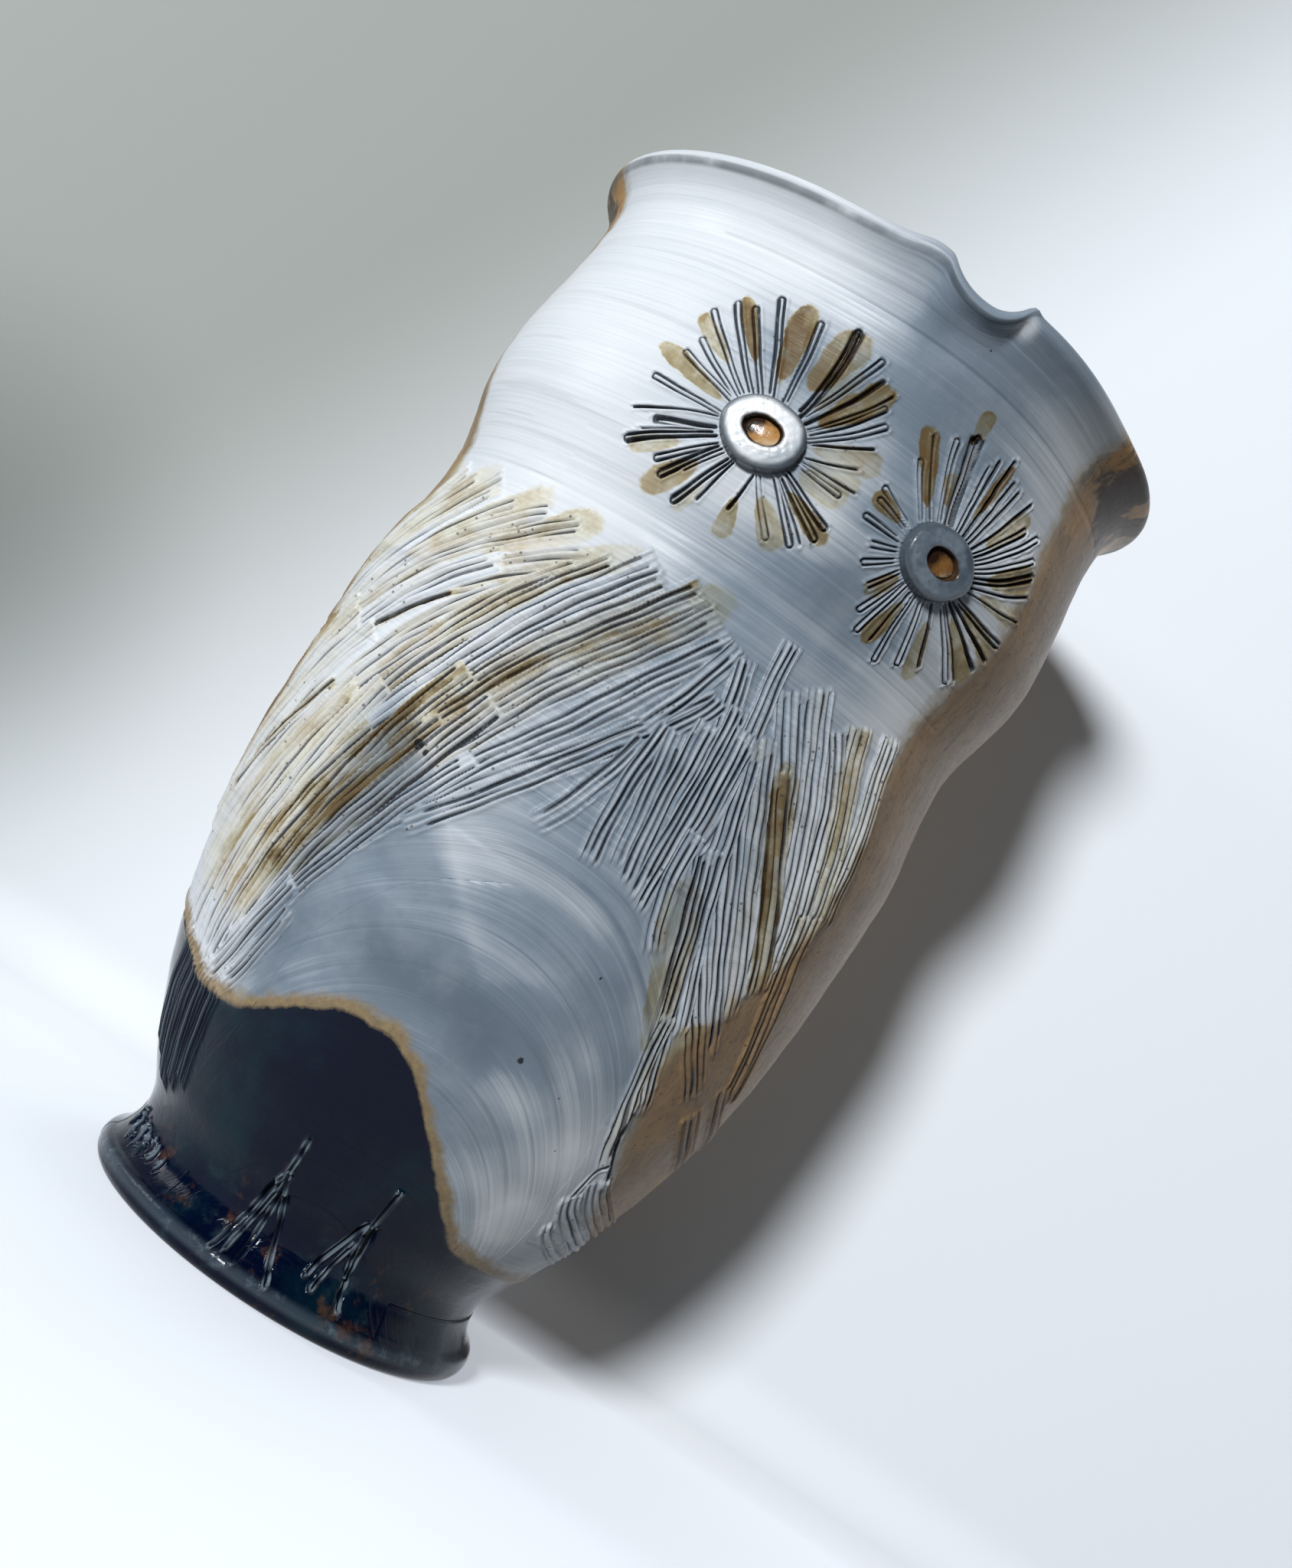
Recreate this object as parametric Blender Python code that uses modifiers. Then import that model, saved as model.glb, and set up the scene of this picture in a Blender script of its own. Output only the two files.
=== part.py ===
"""Owl decanter: a wheel-thrown stoneware jug with an owl's face on its head.

The jug stands upright with +Z up and the owl's face toward -Y, and its origin is the centre
of the flat base. Lengths are in metres. Left and right are the owl's own.
"""
import math

import bmesh
import bpy
from mathutils import Vector

MM = 0.001
AXIS_MERGE = 0.00001

# Sizes of the whole jug
HEIGHT = 250 * MM
GAP = 0.3 * MM

# The foot: a turned disc with a rounded flange, a crease above it and a dished floor
FOOT_HEIGHT = 13.5 * MM
BASE_RADIUS = 46.5 * MM
FLANGE_RADIUS = 49 * MM
FLANGE_HEIGHT = 3.5 * MM
FLANGE_TOP = 6.2 * MM
FLANGE_ROUND = 1.8 * MM
WAIST_RADIUS = 44 * MM
FLOOR_THICKNESS = 8 * MM
DISH_WIDTH = 8 * MM

# The thrown wall, as outside radii and how far below the rim each lies
WAIST_RISE = 3 * MM
BELLY_RADIUS = 71.6 * MM
BELLY_DROP = 111 * MM
BELLY_FULLNESS = 2.8
NECK_RADIUS = 68.1 * MM
NECK_DROP = 79 * MM
HEAD_RADIUS = 73 * MM
HEAD_DROP = 51 * MM
COLLAR_RADIUS = 69.3 * MM
RIM_RADIUS = 74.8 * MM
FLARE_ANGLE = math.radians(50)
WALL_AT_FOOT = 6.5 * MM
WALL_AT_RIM = 4 * MM

# The pouring lip: a stretch of the rim drawn forward, a little to the owl's left, with a
# fingertip's notch pressed into it
LIP_WIDTH = 96 * MM
LIP_HEIGHT = 36 * MM
LIP_PULL = 5.5 * MM
LIP_OFFSET = 9 * MM
NOTCH_WIDTH = 20 * MM
NOTCH_HEIGHT = 15 * MM
NOTCH_DEPTH = 5 * MM
NOTCH_SLOPE = 0.45

# The eyes: oval pads of clay pressed on the head, each with a pit where amber glaze pools
EYE_WIDTH = 17.5 * MM
EYE_HEIGHT = 14.5 * MM
EYE_THICKNESS = 2.7 * MM
EYE_EDGE = 1.3 * MM
EYE_SPACING = 44 * MM
EYE_DROP = 50 * MM
PIT_WIDTH = 8 * MM
PIT_HEIGHT = 5.6 * MM
PIT_DEPTH = 1.9 * MM
PIT_FLOOR = 0.72
PUPIL_THICKNESS = 0.9 * MM

# How finely the shapes are divided
TURN_STEPS = 72
OUTSIDE_FINENESS = 2
INSIDE_FINENESS = 1
CURVE_STEPS = 4
FRONT_CROWDING = 0.55
EYE_STEPS = 28
SHARP_ANGLE = math.radians(40)


def clear_scene():
    """Remove the objects of the scene that the script starts in."""
    for item in list(bpy.data.objects):
        bpy.data.objects.remove(item, do_unlink=True)


def material(name, colour, roughness):
    """Return a plain glaze or clay material."""
    made = bpy.data.materials.new(name)
    made.use_nodes = True
    shader = made.node_tree.nodes["Principled BSDF"]
    shader.inputs["Base Color"].default_value = (*colour, 1)
    shader.inputs["Roughness"].default_value = roughness
    shader.inputs["Metallic"].default_value = 0
    return made


def ease(share):
    """Go from 0 to 1 with a level start and a level end."""
    share = min(max(share, 0), 1)
    return (1 - math.cos(math.pi * share)) / 2


def bell(share):
    """Return 1 at 0, falling to 0 at -1 and at 1."""
    return 1 - ease(abs(share))


def blend(low, high, share):
    """Return the value a share of the way from low to high."""
    return low + (high - low) * share


# The flare is an arc that starts upright at the collar and ends in the rim's round edge
FLARE_REACH = 1 - math.cos(FLARE_ANGLE)
FLARE_RADIUS = (RIM_RADIUS - COLLAR_RADIUS) / FLARE_REACH - WALL_AT_RIM / 2
EDGE_RISE = WALL_AT_RIM / 2 * (1 + math.sin(FLARE_ANGLE))
COLLAR_HEIGHT = HEIGHT - EDGE_RISE - FLARE_RADIUS * math.sin(FLARE_ANGLE)
BELLY_HEIGHT = HEIGHT - BELLY_DROP
NECK_HEIGHT = HEIGHT - NECK_DROP
HEAD_HEIGHT = HEIGHT - HEAD_DROP
WALL_START = FOOT_HEIGHT + GAP
BELLY_START = WALL_START + WAIST_RISE


def wall_radius(height):
    """Return the wall's outside radius at a height below the flare."""
    if height < BELLY_START:
        return WAIST_RADIUS
    if height < BELLY_HEIGHT:
        share = (height - BELLY_START) / (BELLY_HEIGHT - BELLY_START)
        return blend(WAIST_RADIUS, BELLY_RADIUS, 1 - (1 - share) ** BELLY_FULLNESS)
    if height < NECK_HEIGHT:
        share = (height - BELLY_HEIGHT) / (NECK_HEIGHT - BELLY_HEIGHT)
        return blend(BELLY_RADIUS, NECK_RADIUS, ease(share))
    if height < HEAD_HEIGHT:
        share = (height - NECK_HEIGHT) / (HEAD_HEIGHT - NECK_HEIGHT)
        return blend(NECK_RADIUS, HEAD_RADIUS, ease(share))
    share = (height - HEAD_HEIGHT) / (COLLAR_HEIGHT - HEAD_HEIGHT)
    return blend(HEAD_RADIUS, COLLAR_RADIUS, ease(share))


def stations(low, high, count):
    """Return the heights of a stretch of wall, its upper end left out."""
    return [blend(low, high, step / count) for step in range(count)]


def wall_line(fineness):
    """Return the wall's outside profile from the foot up, as (radius, height) pairs."""
    heights = [WALL_START]
    heights += stations(BELLY_START, BELLY_HEIGHT, 5 * fineness)
    heights += stations(BELLY_HEIGHT, NECK_HEIGHT, 2 * fineness)
    heights += stations(NECK_HEIGHT, HEAD_HEIGHT, 2 * fineness)
    heights += stations(HEAD_HEIGHT, COLLAR_HEIGHT, 2 * fineness)
    line = [(wall_radius(height), height) for height in heights]
    steps = 3 * fineness
    for step in range(steps + 1):
        turn = FLARE_ANGLE * step / steps
        radius = COLLAR_RADIUS + FLARE_RADIUS * (1 - math.cos(turn))
        line.append((radius, COLLAR_HEIGHT + FLARE_RADIUS * math.sin(turn)))
    return line


def moved_in(outer):
    """Return the inside of the wall: the outside profile moved in by the wall's thickness."""
    line = []
    for index, (radius, height) in enumerate(outer):
        before = outer[max(index - 1, 0)]
        after = outer[min(index + 1, len(outer) - 1)]
        along = Vector((after[0] - before[0], after[1] - before[1])).normalized()
        if index == 0:
            along = Vector((0, 1))
        if index == len(outer) - 1:
            along = Vector((math.sin(FLARE_ANGLE), math.cos(FLARE_ANGLE)))
        share = (height - WALL_START) / (NECK_HEIGHT - WALL_START)
        wall = blend(WALL_AT_FOOT, WALL_AT_RIM, min(share, 1))
        line.append((radius - wall * along.y, height + wall * along.x))
    return line


def rim_edge(outer_end, inner_end):
    """Return the half circle that closes the wall at the rim, its ends left out."""
    centre = (Vector(outer_end) + Vector(inner_end)) / 2
    out = Vector(outer_end) - centre
    over = Vector((-out.y, out.x))
    steps = 3 * OUTSIDE_FINENESS
    arc = []
    for step in range(1, steps):
        turn = math.pi * step / steps
        arc.append(tuple(centre + out * math.cos(turn) + over * math.sin(turn)))
    return arc


def turned(name, profile, steps, closed):
    """Turn a profile about Z, and return the mesh that the Screw modifier makes."""
    mesh = bpy.data.meshes.new(name)
    edges = [(index, index + 1) for index in range(len(profile) - 1)]
    if closed:
        edges.append((len(profile) - 1, 0))
    mesh.from_pydata([(radius, 0, height) for radius, height in profile], edges, [])
    blank = bpy.data.objects.new(name, mesh)
    bpy.context.scene.collection.objects.link(blank)
    screw = blank.modifiers.new("Turn", "SCREW")
    screw.axis = "Z"
    screw.steps = steps
    screw.render_steps = steps
    screw.use_merge_vertices = True
    screw.merge_threshold = AXIS_MERGE
    graph = bpy.context.evaluated_depsgraph_get()
    made = bpy.data.meshes.new_from_object(blank.evaluated_get(graph))
    bpy.data.objects.remove(blank, do_unlink=True)
    bpy.data.meshes.remove(mesh)
    return made


def placed(name, mesh, collection, finish, origin=(0, 0, 0)):
    """Make a part of a mesh in world coordinates, with its own origin."""
    mesh.name = name
    for vertex in mesh.vertices:
        vertex.co -= Vector(origin)
    mesh.materials.clear()
    mesh.materials.append(finish)
    mesh.shade_smooth()
    mesh.set_sharp_from_angle(angle=SHARP_ANGLE)
    part = bpy.data.objects.new(name, mesh)
    part.location = origin
    collection.objects.link(part)
    return part


def crowd_to_front(mesh):
    """Draw the turned steps together at the front, where the lip and the face are."""
    for vertex in mesh.vertices:
        radius = math.hypot(vertex.co.x, vertex.co.y)
        angle = math.atan2(vertex.co.x, -vertex.co.y)
        angle -= FRONT_CROWDING * math.sin(angle)
        vertex.co.x = radius * math.sin(angle)
        vertex.co.y = -radius * math.cos(angle)


def draw_lip(mesh):
    """Pull the rim forward into a lip and press the notch, whose bed slopes outward."""
    for vertex in mesh.vertices:
        radius = math.hypot(vertex.co.x, vertex.co.y)
        angle = math.atan2(vertex.co.x, -vertex.co.y)
        across = angle * RIM_RADIUS
        up_lip = ease((vertex.co.z - HEIGHT + LIP_HEIGHT) / LIP_HEIGHT)
        up_notch = ease((vertex.co.z - HEIGHT + NOTCH_HEIGHT) / NOTCH_HEIGHT)
        inward = (RIM_RADIUS - radius) / (RIM_RADIUS - COLLAR_RADIUS + WALL_AT_RIM)
        pressed = NOTCH_DEPTH * (1 - NOTCH_SLOPE * min(max(inward, 0), 1))
        radius += LIP_PULL * bell(2 * (across - LIP_OFFSET) / LIP_WIDTH) * up_lip
        vertex.co.z -= pressed * max(1 - (2 * across / NOTCH_WIDTH) ** 2, 0) * up_notch
        vertex.co.x = radius * math.sin(angle)
        vertex.co.y = -radius * math.cos(angle)


def build_body(collection):
    """Make the thrown wall: belly, neck, head and flared rim in one turned shell."""
    outer = wall_line(OUTSIDE_FINENESS)
    inner = moved_in(wall_line(INSIDE_FINENESS))
    section = inner + rim_edge(outer[-1], inner[-1])[::-1] + outer[::-1]
    mesh = turned("body", section, TURN_STEPS, closed=True)
    crowd_to_front(mesh)
    draw_lip(mesh)
    finish = material("slip_glaze", (0.72, 0.75, 0.8), 0.3)
    return placed("body", mesh, collection, finish)


def quarter_turns():
    """Return the angles that a quarter circle is drawn at, from 0 to a right angle."""
    return [math.pi / 2 * step / CURVE_STEPS for step in range(CURVE_STEPS + 1)]


def foot_line():
    """Return the foot's section, from the middle of its floor out and down to the base."""
    seat_radius = WAIST_RADIUS - WALL_AT_FOOT
    line = [(0, FLOOR_THICKNESS)]
    for step in range(CURVE_STEPS + 1):
        share = step / CURVE_STEPS
        radius = blend(seat_radius - DISH_WIDTH, seat_radius, share)
        line.append((radius, blend(FLOOR_THICKNESS, FOOT_HEIGHT, ease(share))))
    for step in range(CURVE_STEPS):
        share = step / CURVE_STEPS
        radius = blend(WAIST_RADIUS, FLANGE_RADIUS - FLANGE_ROUND, share ** 2)
        line.append((radius, blend(FOOT_HEIGHT, FLANGE_TOP, share)))
    for turn in quarter_turns()[:-1]:
        radius = FLANGE_RADIUS - FLANGE_ROUND * (1 - math.sin(turn))
        line.append((radius, blend(FLANGE_HEIGHT, FLANGE_TOP, math.cos(turn))))
    for turn in quarter_turns():
        radius = blend(BASE_RADIUS, FLANGE_RADIUS, math.cos(turn))
        line.append((radius, FLANGE_HEIGHT * (1 - math.sin(turn))))
    line.append((0, 0))
    return line


def build_foot(collection):
    """Make the foot: the wire-cut base with its flange, which closes the bottom."""
    mesh = turned("foot", foot_line(), TURN_STEPS, closed=False)
    crowd_to_front(mesh)
    finish = material("black_green_glaze", (0.01, 0.018, 0.022), 0.12)
    return placed("foot", mesh, collection, finish)


# An eye's sections are drawn for a round pad of radius 1, with the pit as a share of it
EYE_REACH = EYE_WIDTH / 2
PIT_SHARE = PIT_WIDTH / EYE_WIDTH


def eye_line():
    """Return half of an eye pad's section: the pit, the rounded edge and the flat back."""
    line = [(0, EYE_THICKNESS - PIT_DEPTH)]
    for turn in quarter_turns():
        radius = PIT_SHARE * blend(PIT_FLOOR, 1, math.sin(turn))
        line.append((radius, EYE_THICKNESS - PIT_DEPTH * math.cos(turn)))
    for turn in quarter_turns():
        radius = 1 - EYE_EDGE / EYE_REACH * (1 - math.sin(turn))
        line.append((radius, EYE_THICKNESS - EYE_EDGE * (1 - math.cos(turn))))
    line += [(1, 0), (PIT_SHARE, 0), (0, 0)]
    return line


def pupil_line():
    """Return half of a glaze pool's section: a low dome on the pit's floor."""
    floor = EYE_THICKNESS - PIT_DEPTH + GAP
    reach = PIT_SHARE * PIT_FLOOR - GAP / EYE_REACH
    line = []
    for turn in quarter_turns():
        line.append((reach * math.sin(turn), floor + PUPIL_THICKNESS * math.cos(turn)))
    line.append((0, floor))
    return line


def on_head(side, across, up, out):
    """Return the point of the head at a place on the eye's face, raised off the wall."""
    height = HEIGHT - EYE_DROP + up
    angle = (side * EYE_SPACING / 2 + across) / HEAD_RADIUS
    radius = wall_radius(height) + GAP + out
    return Vector((radius * math.sin(angle), -radius * math.cos(angle), height))


def build_on_head(name, line, side, finish, collection):
    """Turn an oval piece and lay it on the head's double curve, at one of the eyes."""
    mesh = turned(name, line, EYE_STEPS, closed=False)
    for vertex in mesh.vertices:
        reach = math.hypot(vertex.co.x, vertex.co.y)
        # The pit is a flatter oval than the pad, so its flatness blends into the pad's
        pad_share = ease((reach - PIT_SHARE) / (1 - PIT_SHARE))
        flatness = blend(PIT_HEIGHT / PIT_WIDTH, EYE_HEIGHT / EYE_WIDTH, pad_share)
        across = vertex.co.x * EYE_REACH
        up = vertex.co.y * EYE_REACH * flatness
        vertex.co = on_head(side, across, up, vertex.co.z)
    return placed(name, mesh, collection, finish, on_head(side, 0, 0, 0))


def build_eyes(collection):
    """Make both eyes: a pad of slip-white clay each, with its pool of amber glaze."""
    for name, side in (("right", -1), ("left", 1)):
        pad_finish = material(name + "_eye_slip", (0.78, 0.8, 0.82), 0.28)
        pool_finish = material(name + "_pupil_glaze", (0.2, 0.1, 0.03), 0.08)
        build_on_head(name + "_eye", eye_line(), side, pad_finish, collection)
        build_on_head(name + "_pupil", pupil_line(), side, pool_finish, collection)


def main():
    """Build the jug in its own collection."""
    clear_scene()
    collection = bpy.data.collections.new("owl_decanter")
    bpy.context.scene.collection.children.link(collection)
    build_foot(collection)
    build_body(collection)
    build_eyes(collection)


main()
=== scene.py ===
import math

import bpy
import numpy as np
from mathutils import Matrix, Vector


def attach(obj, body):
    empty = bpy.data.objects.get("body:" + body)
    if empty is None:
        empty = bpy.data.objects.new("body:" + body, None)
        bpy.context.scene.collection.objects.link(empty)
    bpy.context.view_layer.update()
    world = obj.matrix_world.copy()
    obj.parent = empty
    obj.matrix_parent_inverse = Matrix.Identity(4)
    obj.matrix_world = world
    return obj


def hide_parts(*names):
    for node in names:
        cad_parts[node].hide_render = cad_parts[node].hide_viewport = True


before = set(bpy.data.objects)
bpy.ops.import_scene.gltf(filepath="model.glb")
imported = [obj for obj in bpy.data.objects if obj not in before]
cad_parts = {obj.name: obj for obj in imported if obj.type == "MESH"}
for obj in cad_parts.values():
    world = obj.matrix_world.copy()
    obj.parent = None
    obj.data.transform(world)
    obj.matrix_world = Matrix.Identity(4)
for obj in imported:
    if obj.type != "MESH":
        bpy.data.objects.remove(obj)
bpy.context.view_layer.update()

MM = 0.001

# Sizes of the jug, as in the CAD, in millimetres
HEIGHT = 250
FOOT_HEIGHT = 13.5
BASE_RADIUS = 46.5
FLANGE_RADIUS = 49
FLANGE_HEIGHT = 3.5
FLANGE_TOP = 6.2
FLANGE_ROUND = 1.8
WAIST_RADIUS = 44
FLOOR_THICKNESS = 8
WAIST_RISE = 3.3
BELLY_RADIUS = 71.6
BELLY_HEIGHT = 139
BELLY_FULLNESS = 2.8
NECK_RADIUS = 68.1
NECK_HEIGHT = 171
HEAD_RADIUS = 73
HEAD_HEIGHT = 199
COLLAR_RADIUS = 69.3
RIM_RADIUS = 74.8
FLARE_ANGLE = math.radians(50)
WALL_AT_FOOT = 6.5
WALL_AT_RIM = 4

# The pouring lip and its notch
LIP_WIDTH = 96
LIP_HEIGHT = 36
LIP_PULL = 5.5
LIP_OFFSET = 9
NOTCH_WIDTH = 20
NOTCH_HEIGHT = 15
NOTCH_DEPTH = 5
NOTCH_SLOPE = 0.45

# The eyes
EYE_WIDTH = 17.5
EYE_HEIGHT = 14.5
EYE_THICKNESS = 2.7
EYE_EDGE = 1.3
EYE_ANGLE = math.degrees(22 / HEAD_RADIUS)
EYE_LEVEL = 200
PIT_WIDTH = 8
PIT_HEIGHT = 5.6
PIT_DEPTH = 1.9
GAP = 0.3

# One degree round the jug is about this long, in millimetres
DEGREE = math.radians(1) * 70


def ease(share):
    """Go from 0 to 1 with a level start and a level end."""
    return (1 - np.cos(np.pi * np.clip(share, 0, 1))) / 2


def bell(value, width):
    """Return 1 at 0, falling away like a rounded hump of a half width."""
    return np.exp(-(value / width) ** 2)


def blend(low, high, share):
    """Return the value a share of the way from low to high."""
    return low + (high - low) * share


FLARE_REACH = 1 - math.cos(FLARE_ANGLE)
FLARE_RADIUS = (RIM_RADIUS - COLLAR_RADIUS) / FLARE_REACH - WALL_AT_RIM / 2
EDGE_RISE = WALL_AT_RIM / 2 * (1 + math.sin(FLARE_ANGLE))
COLLAR_HEIGHT = HEIGHT - EDGE_RISE - FLARE_RADIUS * math.sin(FLARE_ANGLE)
BELLY_START = FOOT_HEIGHT + WAIST_RISE


def thrown_radius(height):
    """Return the outside radius of the foot and the wall at each height."""
    height = np.asarray(height, float)
    down = np.clip((FLANGE_HEIGHT - height) / FLANGE_HEIGHT, 0, 1)
    flange = blend(BASE_RADIUS, FLANGE_RADIUS, np.sqrt(1 - down ** 2))
    upper = np.clip((height - FLANGE_HEIGHT) / (FLANGE_TOP - FLANGE_HEIGHT), 0, 1)
    edge = FLANGE_RADIUS - FLANGE_ROUND * (1 - np.sqrt(1 - upper ** 2))
    foot_share = np.clip((FOOT_HEIGHT - height) / (FOOT_HEIGHT - FLANGE_TOP), 0, 1)
    foot = blend(WAIST_RADIUS, FLANGE_RADIUS - FLANGE_ROUND, foot_share ** 2)
    belly_share = np.clip((height - BELLY_START) / (BELLY_HEIGHT - BELLY_START), 0, 1)
    belly = blend(WAIST_RADIUS, BELLY_RADIUS, 1 - (1 - belly_share) ** BELLY_FULLNESS)
    neck_share = (height - BELLY_HEIGHT) / (NECK_HEIGHT - BELLY_HEIGHT)
    neck = blend(BELLY_RADIUS, NECK_RADIUS, ease(neck_share))
    head_share = (height - NECK_HEIGHT) / (HEAD_HEIGHT - NECK_HEIGHT)
    head = blend(NECK_RADIUS, HEAD_RADIUS, ease(head_share))
    collar_share = (height - HEAD_HEIGHT) / (COLLAR_HEIGHT - HEAD_HEIGHT)
    collar = blend(HEAD_RADIUS, COLLAR_RADIUS, ease(collar_share))
    sine = np.clip((height - COLLAR_HEIGHT) / FLARE_RADIUS, 0, 1)
    flare = COLLAR_RADIUS + FLARE_RADIUS * (1 - np.sqrt(1 - sine ** 2))
    tops = (FLANGE_HEIGHT, FLANGE_TOP, FOOT_HEIGHT, BELLY_HEIGHT, NECK_HEIGHT, HEAD_HEIGHT, COLLAR_HEIGHT)
    radii = [flange, edge, foot, belly, neck, head, collar]
    return np.select([height < top for top in tops], radii, flare)


def skin_radius(height):
    """Return the outside radius where the wall runs softly into the foot."""
    height = np.asarray(height, float)
    around = np.mean([thrown_radius(height + step) for step in np.linspace(-4, 4, 9)], axis=0)
    return blend(thrown_radius(height), around, bell(height - 15.5, 5))


def skin_slope(height):
    """Return how fast the outside radius grows with height."""
    return (skin_radius(height + 0.4) - skin_radius(height - 0.4)) / 0.8


def drawn_lip(angle, radius, height):
    """Pull the rim forward into a lip and press the notch, as in the CAD."""
    across = np.radians(angle) * RIM_RADIUS
    up_lip = ease((height - HEIGHT + LIP_HEIGHT) / LIP_HEIGHT)
    up_notch = ease((height - HEIGHT + NOTCH_HEIGHT) / NOTCH_HEIGHT)
    inward = (RIM_RADIUS - radius) / (RIM_RADIUS - COLLAR_RADIUS + WALL_AT_RIM)
    pressed = NOTCH_DEPTH * (1 - NOTCH_SLOPE * np.clip(inward, 0, 1))
    pulled = LIP_PULL * (1 - ease(np.abs(2 * (across - LIP_OFFSET) / LIP_WIDTH))) * up_lip
    half = np.where(across < 0, 1.04, 0.72) * NOTCH_WIDTH / 2
    bed = 1 - np.abs(across / half) ** 2.2
    bed = (bed + np.sqrt(bed ** 2 + 0.015)) / 2
    # The clay pressed out of the notch stands up at its sides
    crests = 0.8 * bell(across + 14.5, 4) - 0.4 * bell(across + 27, 10)
    crests = crests + 0.7 * bell(across - 8, 1.3) - 0.4 * bell(across - 40, 18)
    height = height - pressed * bed * up_notch + crests * up_notch ** 2
    return radius + pulled, height


def points_of(angle, radius, height):
    """Return the points of the jug at angles in degrees, in metres."""
    radius, height = drawn_lip(angle, radius, height)
    turn = np.radians(angle)
    points = np.stack([radius * np.sin(turn), -radius * np.cos(turn), height], axis=-1)
    return points * MM


# The edge of the dark glaze: angle round the jug in degrees and height in millimetres
GLAZE_EDGE = (
    (-180, 40), (-150, 44), (-120, 53), (-95, 58), (-85, 56), (-75, 54), (-70, 52),
    (-65, 50), (-60, 47.5), (-50, 47.5), (-45, 48.5), (-40, 51), (-35, 54), (-30, 57.5),
    (-25, 60.5), (-20, 62), (-15, 62.5), (-11, 61.5), (-8, 59.5), (-5, 57), (-2, 54),
    (1, 50.5), (4, 47.5), (7, 44.5), (10, 41.5), (13, 39), (16, 36.5), (19, 34),
    (22, 32), (26, 30), (31, 29), (40, 28.5), (55, 27), (75, 26), (100, 30), (130, 36),
    (180, 40),
)
# Where white slip gives way to bare brown clay on the owl's left, as height and angle
FLANK_EDGE = (
    (0, 150), (26, 118), (34, 92), (40, 74), (45, 60), (49, 51), (54, 45.5), (60, 42),
    (66, 38.5), (72, 35), (80, 32), (90, 31), (105, 35.5), (115, 39), (130, 42.5),
    (150, 40), (170, 38.5), (200, 39.5), (225, 39), (240, 37.5), (245, 36), (250, 35),
)
# The same edge round the other side of the jug
BACK_EDGE = (
    (0, -120), (60, -100), (80, -92), (95, -86), (110, -83), (130, -85), (150, -88),
    (160, -81), (172, -79), (182, -82), (200, -88), (225, -86), (240, -83), (250, -82),
)

# Guides that the combed panels are laid between, as height and angle
PANEL_TOP = 174
PANEL_BOTTOM = 42
RIGHT_BOTTOM = 16
LEFT_BOTTOM = 33
CHEST_BOTTOM = 101
WING_SPLIT = 108
WING_OUTSIDE = ((16, -90), (42, -94), (75, -98), (100, -98), (125, -96), (150, -92), (174, -84))
WING_INSIDE = (
    (16, -44), (42, -44), (50, -41), (60, -39), (70, -36), (80, -31), (88, -26), (94, -20),
    (101, -9.5), (110, -8.5), (128, -8), (150, -5.5), (174, -2.5),
)
CHEST_OUTSIDE = (
    (33, 38), (42, 36), (50, 33), (60, 31), (70, 28), (80, 25.5), (90, 22.5), (96, 20.5),
    (101, 17.5), (110, 15), (120, 13), (130, 11.5), (150, 9.3), (174, 8),
)
OTHER_WING_OUTSIDE = ((33, 92), (62, 88), (80, 78), (100, 66), (125, 58), (150, 52), (174, 47))
FACE_MIDDLE = 1.2
FACE_ENDS = (-45, 45)
FACE_TOP = 236
CLAW_ENDS = (-44, 25)
CURL_ENDS = (-90, -44)
CLAW_TOP = 39
CLAW_BOTTOM = 1.2


def guide(line, position):
    """Return a guide's second value where its first is a position, as an angle at a height."""
    stations, values = zip(*line)
    return np.interp(position, stations, values)


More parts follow.
